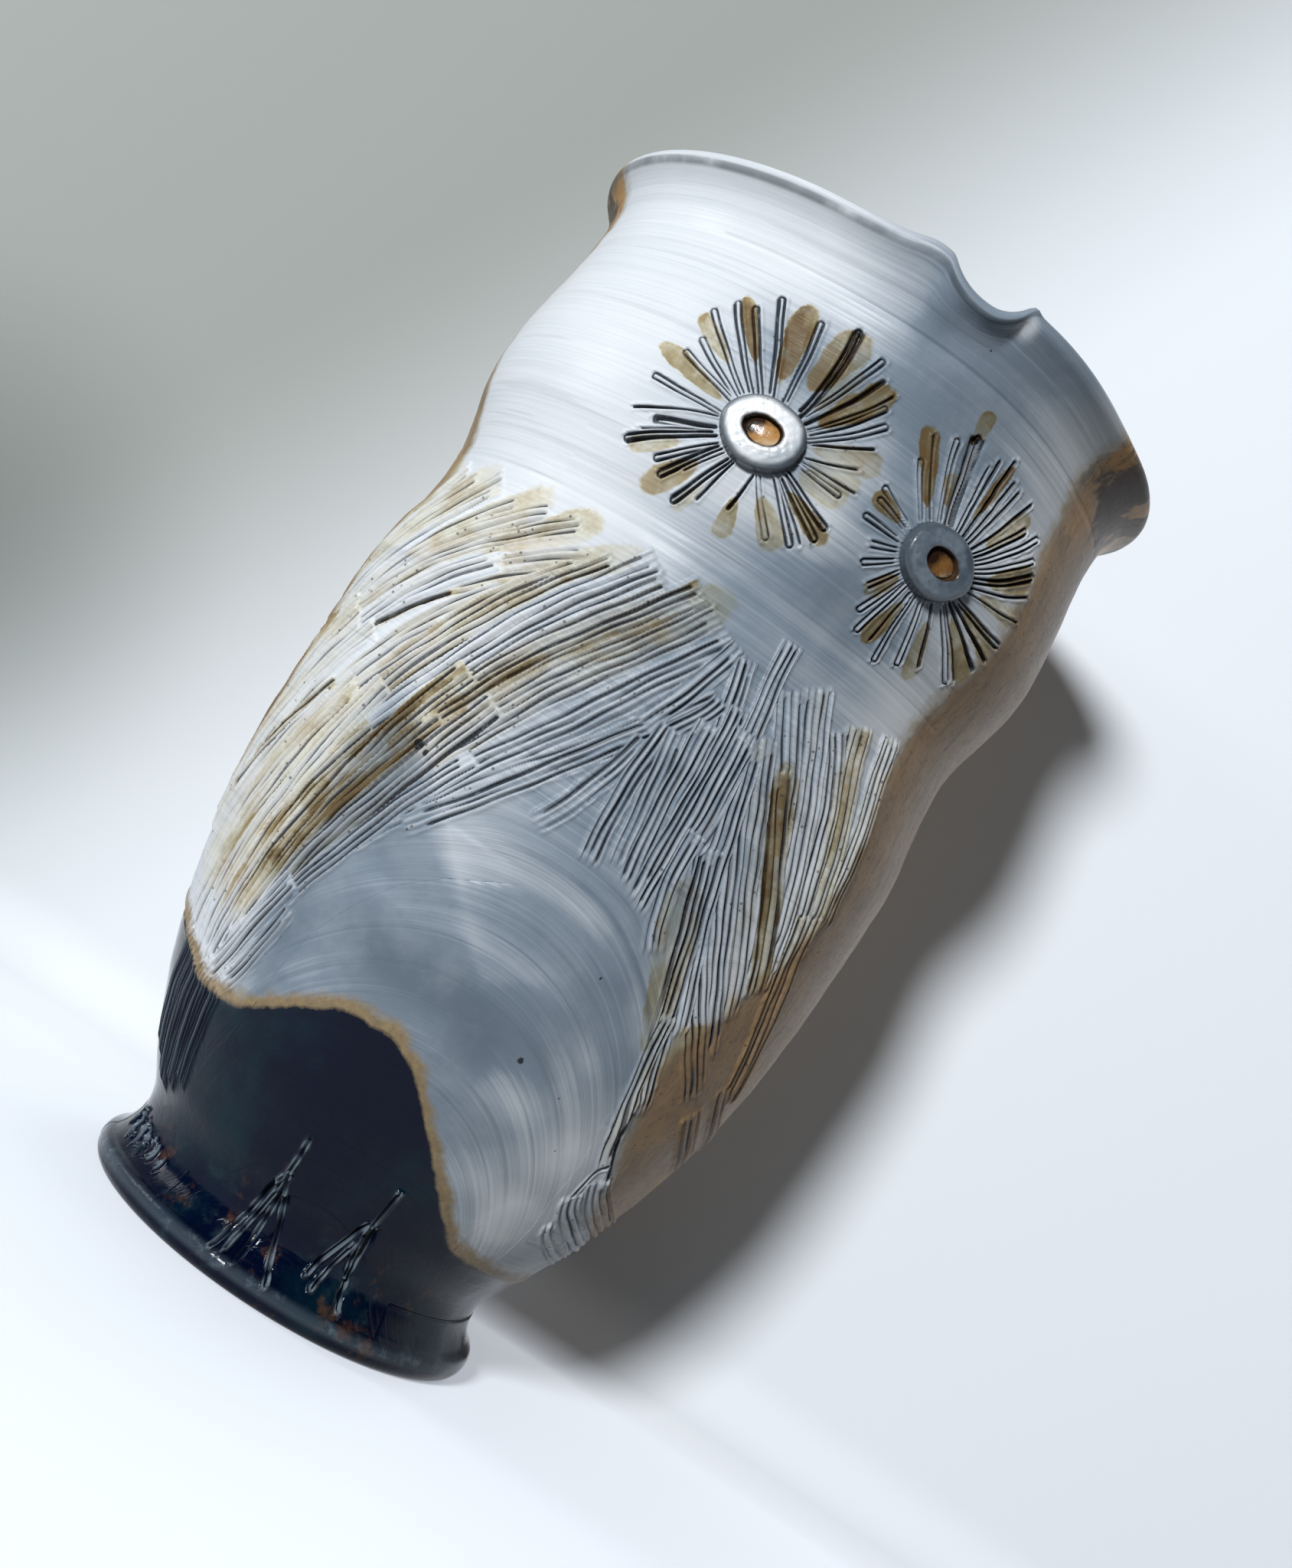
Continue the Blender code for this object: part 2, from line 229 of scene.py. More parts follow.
# Strokes of the comb, in the order they were made: start, middle and end as angle and
# height, then how many teeth, how far apart, how deep, and how much ochre they carry
RIGHT_WING = (
    ((-70, 168), (-79, 156), (-94, 138), 4, 2.2, 0.9, 0.45),
    ((-64, 166), (-75, 152), (-92, 130), 4, 2.1, 1.1, 0.4),
    ((-57, 168), (-69, 152), (-88, 124), 4, 1.9, 1.2, 0.35),
    ((-49, 164), (-63, 147), (-84, 116), 4, 1.8, 1.2, 0.3),
    ((-43, 166), (-58, 151), (-80, 120), 3, 1.7, 1.0, 0.35),
    ((-36, 167), (-51, 153), (-74, 126), 3, 1.6, 1.4, 0.55),
    ((-31, 162), (-47, 147), (-69, 118), 3, 1.8, 1.1, 0.5),
    ((-23, 165), (-38, 152), (-53, 138), 2, 1.6, 1.5, 0.7),
    ((-44, 153), (-60, 133), (-78, 104), 4, 1.8, 1.2, 0.2),
    ((-48, 142), (-60, 129.5), (-75, 112), 1, 1, 2.4, 0.9),
    ((-72, 132), (-82, 114), (-94, 86), 4, 2.2, 1.2, 0.5),
    ((-66, 128), (-77, 106), (-89, 76), 4, 2.1, 1.2, 0.5),
    ((-60, 128), (-71, 105), (-83, 72), 4, 1.9, 1.1, 0.3),
    ((-38, 148), (-56, 120), (-73, 78), 4, 1.8, 1.3, 0.35),
    ((-31, 158), (-50, 122), (-69, 74), 4, 1.7, 1.3, 0.6),
    ((-26, 163), (-46, 123), (-65, 70), 4, 1.7, 1.3, 0.7),
    ((-20.5, 168), (-42, 122), (-62, 64), 4, 1.8, 1.1, 0.15),
    ((-16.5, 164), (-38, 120), (-58, 66), 3, 1.7, 1.0, 0.5),
    ((-11.5, 168), (-34, 122), (-53, 72), 4, 1.6, 1.3, 0.75),
    ((-7.5, 166), (-29, 121), (-48, 76), 4, 1.5, 1.3, 0.35),
    ((-2.5, 163), (-22, 122), (-42, 82), 4, 1.5, 1.1),
    ((0, 152), (-12, 130), (-30, 100), 4, 1.4, 1.3),
    ((-5.5, 142), (-16, 122), (-31, 97), 3, 1.4, 1.2),
    ((-6, 137), (-9, 124), (-13, 111.5), 3, 1.4, 0.9),
    ((-61, 114), (-69, 101), (-80, 84), 2, 1.7, 1.9, 0.8),
    ((-59, 110), (-68, 92), (-79, 66), 4, 1.9, 1.2, 0.35),
    ((-55, 116), (-67, 84), (-76, 52), 4, 1.8, 1.2, 0.55),
    ((-52, 112), (-62, 80), (-70, 50), 4, 1.8, 1.2, 0.75),
    ((-49, 119), (-59, 80), (-65, 48), 4, 1.7, 1.2, 0.5),
    ((-46, 110), (-55, 79), (-61, 48), 4, 1.6, 1.3, 0.85),
    ((-36.5, 130), (-48.5, 88), (-57.5, 51), 4, 1.6, 1.5, 1.15),
    ((-35.5, 119), (-45.8, 86), (-53, 58), 4, 1.5, 1.6, 1.0),
    ((-29, 127), (-41, 90), (-50, 62), 4, 1.5, 1.5, 0.4),
    ((-27, 116), (-37.5, 90), (-45.5, 69), 3, 1.4, 1.2),
    ((-44.5, 76), (-51, 60), (-58, 48), 4, 1.5, 1.0),
    ((-42.5, 71), (-46, 59), (-51, 49), 3, 1.4, 1.0),
    ((-68, 54), (-73, 41), (-77, 27), 4, 1.8, 1.0),
    ((-63, 50), (-67, 38), (-70, 22), 5, 1.7, 1.1),
    ((-58, 50), (-61, 36), (-64, 24), 4, 1.7, 1.0),
    ((-53, 49), (-56, 36), (-58, 26), 4, 1.6, 0.8),
)
LEFT_WING = (
    ((34, 168), (37.5, 150), (43, 128), 4, 1.6, 0.9, 0.3),
    ((25.5, 165), (32, 146), (44, 112), 4, 1.8, 1.1, 0.85),
    ((21, 160.5), (29, 143), (41, 110), 4, 1.7, 1.3, 0.25),
    ((14.5, 166), (23, 146), (37, 112), 4, 1.7, 0.9, 0.2),
    ((10, 162), (19, 142), (36, 106), 4, 1.7, 1.0, 0.1),
    ((15.5, 147.5), (24, 132), (38, 108), 3, 1.9, 1.6, 1.1),
    ((10, 151), (19, 130), (36, 100), 4, 1.6, 1.2, 0.3),
    ((10, 141), (20, 119), (38, 91), 4, 1.6, 1.3),
    ((11, 131), (22, 108), (43, 83), 4, 1.6, 1.4),
    ((38, 128), (46, 106), (56, 84), 4, 2.0, 1.1, 0.6),
    ((9.5, 146), (17, 118), (28, 92), 4, 1.4, 1.2),
    ((13, 127), (22, 99), (33, 74), 4, 1.35, 1.6),
    ((24, 95), (29, 77), (37, 61), 3, 1.3, 1.3, 0.5),
    ((46.5, 80), (54, 74), (66, 68), 3, 2.0, 1.3, 0.5),
    ((50, 88), (60, 80), (74, 74), 2, 2.2, 1.0, 0.5),
    ((31.4, 76.5), (34.4, 67), (42.5, 57.5), 1, 1, 2.6),
    ((36.5, 63), (35.8, 57), (37, 51), 1, 1, 1.3),
    ((39, 59), (52, 50), (78, 45), 4, 1.7, 0.8),
    ((36.5, 53), (48, 45), (72, 40), 3, 1.7, 0.8),
    ((39, 45), (48, 39.5), (66, 36), 2, 1.6, 0.7),
)
CHEST = (
    ((-1.5, 163), (-4.5, 151), (-8, 139), 3, 1.5, 0.9),
    ((1, 162), (3, 150), (5, 137), 3, 1.4, 0.9),
    ((6, 170), (7.5, 155), (9, 139), 3, 1.4, 0.8),
    ((1, 152), (-1, 146), (-4.5, 139), 3, 1.3, 1.0),
    ((9.5, 150), (10, 136), (10, 124), 3, 1.5, 1.0),
    ((-4, 142), (-4.3, 126), (-3.2, 111), 3, 1.35, 1.1),
    ((-1.8, 142), (-0.3, 128), (2, 114), 4, 1.35, 1.1),
    ((1, 147), (2.6, 130), (4.6, 112), 4, 1.35, 1.1),
    ((4, 153), (5.4, 132), (6.8, 110), 3, 1.35, 1.1),
    ((7, 150), (8, 130), (9.6, 109), 4, 1.35, 1.1),
    ((9.3, 128), (10.6, 114), (14.5, 103.5), 3, 1.4, 1.1),
)

# Rays cut round each eye: direction at the pad and at the outer end, how far the outer
# end reaches from the eye's middle, how many lines, and depth
RIGHT_RAYS = (
    (3, 14, 19.5, 1, 1.0), (21, 28, 22, 1, 1.4), (26, 39, 24.5, 2, 0.9), (34, 48, 25, 2, 1.0),
    (40, 52, 27.5, 1, 0.9), (48, 59.5, 27, 1, 1.7), (58, 67, 28.5, 2, 0.9), (62, 82, 29, 2, 2.2),
    (89, 97, 26.5, 2, 1.1), (110, 115.5, 30, 2, 1.4), (125, 125.5, 28, 2, 1.1),
    (137, 132.5, 30, 2, 1.1), (147, 142.5, 30, 2, 1.1), (156, 152, 24.5, 2, 0.9),
    (162, 161.5, 24, 2, 1.0), (183, 180, 25.5, 2, 1.1), (187, 196.5, 27, 1, 1.2),
    (203, 201, 22, 1, 2.4), (207, 205.5, 24.5, 1, 0.9), (211, 209.5, 27.5, 2, 1.6),
    (225, 222, 21.5, 2, 1.1), (230, 230.5, 21.5, 2, 1.5), (238, 235, 17, 1, 0.9),
    (251, 247, 21.5, 2, 1.4), (257, 255.5, 18, 1, 1.3), (292, 277, 16, 1, 1.6),
    (296, 305, 20, 2, 0.6), (318, 317.5, 22, 2, 0.9), (323, 322.5, 22.5, 1, 0.8),
    (327, 330, 22.5, 2, 1.2), (334, 337, 21.5, 2, 1.4), (352, 355, 18.5, 2, 0.8),
    (358, 362, 21, 1, 0.8),
)
LEFT_RAYS = (
    (0, 8.5, 29, 1, 1.1), (5, 20, 29, 1, 1.2), (14, 28, 29, 2, 1.5), (24, 35, 28, 2, 1.0),
    (35, 43.5, 29, 2, 1.1), (44, 50, 25, 2, 1.4), (52, 60, 28, 1, 1.8), (60, 69, 25.5, 1, 1.5),
    (66, 74.5, 25.5, 1, 1.6), (73, 82, 28, 1, 2.0), (84, 88.5, 25.5, 1, 1.6), (89, 92, 23, 1, 1.0),
    (103, 104, 26.5, 2, 2.6), (121, 114, 24.5, 2, 0.8), (136, 125.5, 25, 1, 1.2),
    (150, 134, 20, 2, 0.8), (168, 163, 18, 2, 0.9), (174, 171, 17, 2, 0.9), (188, 185, 17.5, 2, 0.9),
    (197, 200, 14.5, 1, 0.8), (203, 205, 14.5, 1, 0.8), (213, 216, 15.5, 2, 1.0),
    (226, 232, 15, 1, 1.0), (232, 237, 15, 1, 1.4), (244, 248, 18, 2, 0.9), (251, 257.5, 20.5, 2, 1.1),
    (265, 268, 20, 1, 1.6), (273, 278.5, 22.5, 2, 1.1), (288, 293, 21.5, 2, 1.0),
    (306, 307, 22, 1, 2.0), (321, 325, 27, 2, 0.8), (327, 329, 28, 1, 1.0), (333, 339, 28, 1, 1.8),
    (338, 346, 28, 1, 1.9), (345, 354, 27, 2, 1.3),
)

# Toes scratched through the dark glaze, given as the strokes of the comb are
CLAWS = (
    ((-17, 36), (-17.5, 29), (-18.4, 22), 1, 1, 1.6),
    ((-18.2, 26), (-21.6, 17), (-24.2, 5), 1, 1, 2.5),
    ((-18, 22), (-20.2, 14), (-21.2, 6), 1, 1, 1.5),
    ((-17.3, 27), (-17.3, 16), (-17.2, 5), 1, 1, 2.6),
    ((-16.8, 25), (-12.6, 14), (-7.2, 4.8), 1, 1, 2.5),
    ((5, 36.5), (5.2, 30), (5.8, 23), 1, 1, 1.7),
    ((4.4, 27), (2, 18.5), (-0.4, 10.4), 1, 1, 2.6),
    ((5.0, 22), (4.2, 15), (2.6, 8.4), 1, 1, 1.7),
    ((6.2, 27), (9, 17), (11.8, 7), 1, 1, 2.8),
    ((5.8, 24), (7.2, 19), (9.2, 13.5), 1, 1, 1.7),
)
# Curls of clay left on the flange below the owl's right wing
CURLS = (
    ((-79, 14), (-77, 12.5), (-78, 10.5), 1, 1, 1.6),
    ((-75.5, 12.5), (-76, 10), (-74, 8.8), 1, 1, 1.6),
    ((-73, 13.5), (-71.5, 11.5), (-72.5, 9), 1, 1, 1.8),
    ((-70, 13), (-69.8, 10.5), (-68, 8.2), 1, 1, 1.8),
    ((-67.5, 12.8), (-66, 11), (-66.6, 8.6), 1, 1, 1.8),
    ((-64.5, 12), (-64.3, 10), (-62.5, 8.4), 1, 1, 1.6),
    ((-62, 12.4), (-60.6, 11), (-61, 9), 1, 1, 1.4),
    ((-58.5, 12), (-57.5, 10.6), (-58, 9.2), 1, 1, 1.0),
    ((-54, 11.5), (-53, 10.2), (-53.5, 9), 1, 1, 0.9),
    ((-84, 13), (-82.5, 11.5), (-83, 9.5), 1, 1, 1.4),
)

# Daubs of ochre: start and end as angle and height, width, and strength
DAUBS = (
    (-76, 170, -94, 146, 14, 0.8), (-60, 170, -84, 138, 14, 0.65), (-44, 170, -66, 144, 11, 0.65),
    (-33, 170, -50, 152, 9, 0.7), (-24, 168, -42, 148, 8, 0.7), (-7, 171, -24, 140, 10, 0.65),
    (-33, 126, -44, 104, 6, 0.85), (-78, 128, -94, 104, 12, 1.0), (-46, 92, -56, 64, 7, 1.05),
    (16, 150, 26, 126, 7.5, 0.9), (26, 158, 36, 134, 7, 0.7), (12, 120, 25, 86, 10, 0.75),
    (30, 97, 37, 78, 12, 0.8), (37, 140, 45, 112, 10, 0.6),
)
# Petals of ochre brushed over the rays: the eye, outer direction and reach, inner direction
# and reach, width, and strength
PETALS = (
    (-1, 20, 24, 17, 10, 6.5, 0.4), (-1, 5, 21, 3, 10, 6, 0.35), (-1, 54, 28, 45, 11, 7, 0.85),
    (-1, 79, 29.5, 80, 13, 9, 0.7), (-1, 104, 29.5, 106, 11, 6.5, 0.95), (-1, 129, 31, 127, 15, 3.5, 0.8),
    (-1, 147, 30.5, 146, 16, 4, 0.7), (-1, 166, 29.5, 170, 11, 4.5, 0.65), (-1, 212, 27, 216, 16, 4.5, 0.5),
    (-1, 232, 26, 236, 13, 6.5, 0.5), (-1, 250, 22.5, 252, 15, 3.5, 0.35),
    (-1, 279.5, 21.5, 279, 13, 4.5, 0.6), (-1, 309, 22.5, 300, 12, 6, 0.5),
    (-1, 333, 24, 326, 12, 4.5, 0.75), (-1, 356, 20.5, 345, 10, 8, 0.45), (-1, 67, 24, 60, 11, 4, 0.4),
    (1, 127, 27, 137, 11, 5, 1.1), (1, 103, 32, 105, 25, 4, 1.0), (1, 112, 18, 113, 11, 4, 0.9),
    (1, 81, 27, 79, 12, 3.2, 1.1), (1, 55, 27, 50, 13, 5.5, 0.8), (1, 27, 29, 20, 14, 7, 0.9),
    (1, 170, 18.5, 173, 11, 4.5, 0.9), (1, 238, 16, 236, 8.5, 4.5, 0.7), (1, 266, 21, 266, 10, 4.5, 0.9),
    (1, 302, 25, 305, 12, 5, 0.8), (1, 333, 29, 331, 12, 5.5, 0.9), (1, 348, 29, 346, 12, 5, 0.8),
    (1, 8, 28, 5, 13, 4.5, 0.7),
)
# Where the slip lies thicker (below 0) or thinner, with painted light among them, such as the paler patch
# between the eyes: angle, height, half width and half height in millimetres, and how much
SLIP_PATCHES = (
    (-22, 240, 20, 16, -0.45), (6, 226, 14, 13, 0.3), (-3, 197, 6, 12, -0.7), (-14, 187, 15, 7, -0.6),
    (-19, 217, 11, 7, 0.6), (4, 183, 15, 6, 0.25), (32, 172, 9, 8, -0.15), (-28, 171, 14, 6, -0.2),
    (-4, 240, 5, 7, 0.4), (-20, 97, 6, 3, -0.25), (-13, 101, 7, 3, -0.28), (-5, 103.5, 8, 3.2, -0.3),
    (2, 103, 5, 2.5, -0.22), (-20, 75, 12, 6, 0.35), (-7, 76, 12, 5, 0.3), (-27, 85, 9, 2.2, -0.22),
    (-14, 88, 10, 2.2, -0.2), (0, 87, 9, 2.4, -0.24), (0, 69, 7, 5, 0.25), (11, 65, 9, 5, -0.65),
    (16, 79, 6, 4, -0.2), (25, 59, 9, 6, -0.5), (14, 47, 10, 5, -0.5), (29, 42, 9, 6, -0.8),
    (26, 85, 5, 9, 0.3), (6.6, 246, 1.8, 1.7, -1.3), (-33, 62, 12, 5, -0.2), (-42, 66, 6, 8, 0.25),
)

# Turned lines: height, half width and depth
TURNED_LINES = (
    (234.6, 0.45, 0.42), (233.8, 0.3, 0.12), (239.5, 0.5, 0.12), (243.5, 0.6, 0.16),
    (228.5, 0.6, 0.06), (176, 0.45, 0.14), (179, 0.4, 0.08), (172.6, 0.6, 0.1),
    (185, 0.5, 0.07), (103, 0.8, 0.1), (88, 0.7, 0.08), (70, 0.8, 0.1),
)


def curve_points(start, middle, end, steps=18):
    """Return points on the smooth curve through three places, in millimetres."""
    scale = np.array([DEGREE, 1])
    start, middle, end = (np.array(place) * scale for place in (start, middle, end))
    pull = 2 * middle - (start + end) / 2
    share = np.linspace(0, 1, steps + 1)[:, None]
    return start * (1 - share) ** 2 + 2 * pull * share * (1 - share) + end * share ** 2


def along_curve(places, line):
    """Return how far along a curve each place lies, and how far to its side."""
    base = line[:-1]
    step = line[1:] - line[:-1]
    length = np.hypot(step[:, 0], step[:, 1])
    travelled = np.concatenate([[0], np.cumsum(length)])[:-1]
    offset = places[:, None, :] - base[None]
    share = (offset * step[None]).sum(-1) / length ** 2
    share[:, 1:] = np.maximum(share[:, 1:], 0)
    share[:, :-1] = np.minimum(share[:, :-1], 1)
    away = offset - share[..., None] * step[None]
    nearest = np.argmin((away ** 2).sum(-1), axis=1)
    rows = np.arange(len(places))
    side = step[nearest, 0] * offset[rows, nearest, 1] - step[nearest, 1] * offset[rows, nearest, 0]
    along = travelled[nearest] + share[rows, nearest] * length[nearest]
    return along, side / length[nearest], length.sum()


class Relief:
    """What the tools did at each place of a piece: depth cut, and clay raised."""

    def __init__(self, angle, height):
        self.places = np.stack([angle * DEGREE, height], axis=-1)
        self.cut = np.zeros(len(angle))
        self.raised = np.zeros(len(angle))
        self.ochre = np.zeros(len(angle))

    def near(self, line, reach):
        """Return the places within a curve's surroundings."""
        low = line.min(0) - reach
        high = line.max(0) + reach
        inside = ((self.places >= low) & (self.places <= high)).all(-1)
        return np.flatnonzero(inside)

    def comb(self, start, middle, end, teeth, pitch, depth, ochre=0.0,
             groove=0.31, taper=1.0, burr=1.0, lip=0.34, fade=2.6, looped=False, heap=0.0):
        """Drag a comb along a curve: grooves between ridges, with burrs where it starts."""
        line = curve_points(start, middle, end)
        half = teeth * pitch / 2
        near = self.near(line, half + 2.5)
        key = [int(abs(number) * 100) for number in (*start, *end)]
        seeds = np.random.default_rng(key).random((teeth + 2, 6))
        if len(near) == 0:
            return
        along, side, length = along_curve(self.places[near], line)
        side = side / blend(1, taper, np.clip(along / length, 0, 1))
        side = side + 0.22 * np.sin(along / 6.3 + 6 * seeds[0, 0]) * min(teeth, 3) / 3
        side = side + 0.07 * np.sin(along / 1.9 + 6 * seeds[0, 1])
        ends = ease((along + 0.8) / 1.2) * ease((length - along + 0.6) / fade)
        cover = ends * ease((half + 0.25 - np.abs(side)) / 0.5)
        cut = self.cut[near] * (1 - cover)
        raised = self.raised[near] * (1 - cover)
        carried = 0.95 + 0.32 * np.sin(along / 9 + 1.7 * np.floor(side / pitch) + 6 * seeds[1, 2])
        carried = ochre * carried * ease((self.places[near, 1] - 56) / 16)
        self.ochre[near] = blend(self.ochre[near], carried, cover)
        # Clay stands in rounded ridges between the teeth, and in a burr along both sides
        phase = side / pitch + teeth / 2 - 0.5
        each = 0.8 + 0.3 * np.sin(2.4 * np.floor(phase) + along / 9 + 6 * seeds[1, 1])
        ridge = 0.38 * each * (1 - (2 * (phase % 1) - 1) ** 2) * ease((half + 0.1 - np.abs(side)) / 0.3)
        raised = np.maximum(raised, ridge * ends * min(pitch, 1.7))
        lips = bell(np.abs(side) - half - 0.1, lip) * ends
        lumps = 0.5 + 0.5 * np.sin(along / 1.1 + 2 * np.sin(along / 2.7 + 6 * seeds[1, 0]))
        raised = np.maximum(raised, burr * (0.16 + 0.2 * lumps) * lips)
        for tooth in range(teeth):
            seed = seeds[tooth]
            centre = (tooth - (teeth - 1) / 2) * pitch
            wander = 0.0 if looped else 0.22
            centre = centre + wander * (seed[5] - 0.5) * pitch
            centre = centre + 0.5 * wander * pitch * np.sin(along / 5 + 6 * seed[0])
            begins = 0 if looped else 3.5 * seed[1] ** 2
            stops = 2 * fade * seed[2] ** 2 if teeth > 1 else 0.3
            run = ease((along - begins + 0.3) / 0.9) * ease((length - stops - along + 0.3) / fade)
            strength = 0.55 + 0.8 * seed[3] ** 1.5 + 0.18 * np.sin(along / 3.1 + 6 * seed[4])
            if teeth == 1 or looped:
                strength = 1 + 0.15 * np.sin(along / 2.3 + 6 * seed[4])
            width = groove * (0.75 + 0.5 * seed[5]) * max(1, depth / 1.3)
            cut = np.maximum(cut, depth * 0.6 * bell(side - centre, width) * run * strength)
            crumb = bell(np.hypot(side - centre - 0.3, along - begins + 0.4), 0.55)
            raised = np.maximum(raised, burr * 0.4 * crumb * (seed[4] > 0.4))
        if looped and teeth == 2:
            # The two lines of a ray are one stroke of a loop tool, rounded at its outer end
            ring = bell(np.hypot(side, along - 0.3) - pitch / 2, groove * 0.85)
            cut = np.maximum(cut, depth * 0.6 * ring * (along < 0.3))
        raised = np.maximum(raised, heap * bell(np.hypot(side, along - length + 0.2), 0.75))
        self.cut[near] = cut
        self.raised[near] = raised


def round_eye(side, direction, reach):
    """Return the angle and height of a place a distance away from the middle of an eye."""
    turn = math.radians(direction)
    return side * EYE_ANGLE + reach * math.cos(turn) / DEGREE, EYE_LEVEL + reach * math.sin(turn)


def rays_of(side, rays):
    """Return each ray as a stroke that starts at its outer end and runs to the pad."""
    strokes = []
    for inner, outer, reach, teeth, depth in rays:
        turn = math.radians(inner)
        pad = 1 / math.hypot(math.cos(turn) / (EYE_WIDTH / 2), math.sin(turn) / (EYE_HEIGHT / 2))
        middle = round_eye(side, blend(inner, outer, 0.62), blend(pad, reach, 0.5))
        start = round_eye(side, outer, reach)
        strokes.append((start, middle, round_eye(side, inner, pad + 0.1), teeth, 1.25, 1.25 * depth))
    return strokes


def daubed(angle, height):
    """Return how far each place lies inside a daub of ochre, and how strong the daub is."""
    places = np.stack([angle * DEGREE, height], axis=-1)
    inside = np.zeros(len(angle))
    strength = np.full(len(angle), 0.5)
    daubs = [((a, b), (c, d), width, power) for a, b, c, d, width, power in DAUBS]
    for side, outer, reach, inner, close, width, power in PETALS:
        power = power * (1.55 if side < 0 else 1.3)
        daubs.append((round_eye(side, outer, reach), round_eye(side, inner, close), width, power))
    for start, end, width, power in daubs:
        middle = ((start[0] + end[0]) / 2, (start[1] + end[1]) / 2)
        line = curve_points(start, middle, end, steps=2)
        low = line.min(0) - width
        high = line.max(0) + width
        near = np.flatnonzero(((places >= low) & (places <= high)).all(-1))
        if len(near) == 0:
            continue
        along, side, length = along_curve(places[near], line)
        from_middle = np.abs(2 * along / length - 1)
        drawn = width * blend(1.12, 0.5, np.clip(along / length, 0, 1))
        shape = 1 - np.sqrt((2 * side / drawn) ** 2 + from_middle ** 3)
        amount = np.clip(shape * 1.6 + 0.45, 0, 1)
        stronger = amount * power > inside[near] * strength[near]
        strength[near] = np.where(stronger, power, strength[near])
        inside[near] = np.where(stronger, amount, inside[near])
    return inside, strength


def slip_thinness_and_shade(angle, height):
    """Return how thin the white slip lies: 0 is thick and white, 1 a thin grey wash. Its broad fall from
    white on the owl's right to grey-blue across the front and the belly is partly painted shade.
    """
    thin = ease((angle + 46) / 44) - 0.75 * ease((angle - 12) / 24)
    belly = ease((112 - height + 0.9 * (np.abs(angle + 6) - 22)) / 14) * ease((angle + 54) / 14)
    thin = np.maximum(thin, belly * (1.12 - 0.75 * ease((angle - 10) / 20)))
    for centre, level, across, up, amount in SLIP_PATCHES:
        away = np.hypot((angle - centre) * DEGREE / across, (height - level) / up)
        thin = thin + amount * bell(away, 1)
    return np.clip(thin, 0, 1.4) * (angle > -100)


def turned_relief(angle, height):
    """Return the broad unevenness of the thrown wall, with its turned lines."""
    turn = np.radians(angle)
    waves = 0.05 * np.sin(height / 2.9 + 1.4 * np.sin(turn))
    waves = waves + 0.035 * np.sin(height / 1.37 + 2.1 * np.cos(turn + 0.7))
    waves = waves + 0.10 * np.sin(height / 11 + 1.1 * np.sin(turn * 2 + 0.4))
    waves = waves + 0.14 * np.sin(turn * 3 + height / 34) + 0.08 * np.sin(turn * 5 - height / 19)
    waves = waves * ease((height - 2) / 14) * ease((HEIGHT - 1 - height) / 6)
    lines = np.zeros_like(waves)
    for level, width, depth in TURNED_LINES:
        drift = 0.35 * np.sin(turn + level) + 0.2 * np.sin(3 * turn + level / 2)
        strength = 0.65 + 0.35 * np.sin(2 * turn + level)
        lines = lines + depth * strength * bell(height - level - drift, width)
    return waves - lines


SLIP_FLAP = ((30.2, 79), (33, 68.5), (41, 57.5))


def slip_edges(angle, height):
    """Return the step of thick slip and glaze at the edges of each."""
    glaze = guide(GLAZE_EDGE, angle) - height
    flank = (angle - guide(FLANK_EDGE, height)) * DEGREE
    roll = 0.35 * bell(glaze + 0.6, 1.1) - 0.12 * ease((glaze + 1) / 2)
    roll = roll - 0.25 * ease((flank + 1) / 2.5) * (angle > 0)
    # A flap of slip is rolled up beside the left wing, along the deep stroke that cuts it
    places = np.stack([angle * DEGREE, height], axis=-1)
    near = np.flatnonzero((np.abs(places - [37 * DEGREE, 68]) < [16, 22]).all(-1))
    if len(near):
        along, side, length = along_curve(places[near], curve_points(*SLIP_FLAP))
        ends = ease((along + 1) / 3) * ease((length - along + 1) / 3)
        roll[near] += 1.0 * bell(side, 1.1) * ends
    return roll


def room(angle, height, left, right, bottom, top):
    """Return how far each place lies inside a panel's four sides, in millimetres."""
    sides = np.minimum((angle - left) * DEGREE, (right - angle) * DEGREE)
    return np.minimum(np.minimum(top - height, height - bottom), sides)


def panel_room(angle, height):
    """Return how far each place lies inside the panels of finely cut skin."""
    bottom = np.where(angle > 20, LEFT_BOTTOM, PANEL_BOTTOM)
    bottom = np.where(angle < CLAW_ENDS[0], RIGHT_BOTTOM, bottom)
    outside = (guide(WING_OUTSIDE, height), guide(OTHER_WING_OUTSIDE, height))
    wings = room(angle, height, *outside, bottom, PANEL_TOP)
    # Below the chest the uncombed belly lies between the wings
    right = (guide(WING_INSIDE, height) - angle) * DEGREE
    left = (angle - guide(CHEST_OUTSIDE, height)) * DEGREE
    wings = np.minimum(wings, np.maximum(np.maximum(right, left), height - CHEST_BOTTOM))
    face = room(angle, height, *FACE_ENDS, PANEL_TOP, FACE_TOP)
    claws = room(angle, height, *CLAW_ENDS, CLAW_BOTTOM, CLAW_TOP)
    curls = room(angle, height, *CURL_ENDS, CLAW_BOTTOM, RIGHT_BOTTOM)
    return np.maximum(np.maximum(wings, face), np.maximum(claws, curls))


def coordinates(mesh):
    """Return a mesh's vertices as an array, in millimetres."""
    flat = np.empty(len(mesh.vertices) * 3)
    mesh.vertices.foreach_get("co", flat)
    return flat.reshape(-1, 3) / MM


def measured(mesh):
    """Return each vertex's angle round the jug, its radius and its height."""
    points = coordinates(mesh)
    angle = np.degrees(np.arctan2(points[:, 0], -points[:, 1]))
    return angle, np.hypot(points[:, 0], points[:, 1]), points[:, 2]


def set_coordinates(mesh, points):
    """Move a mesh's vertices to points in metres."""
    mesh.vertices.foreach_set("co", np.ascontiguousarray(points).ravel())
    mesh.update()


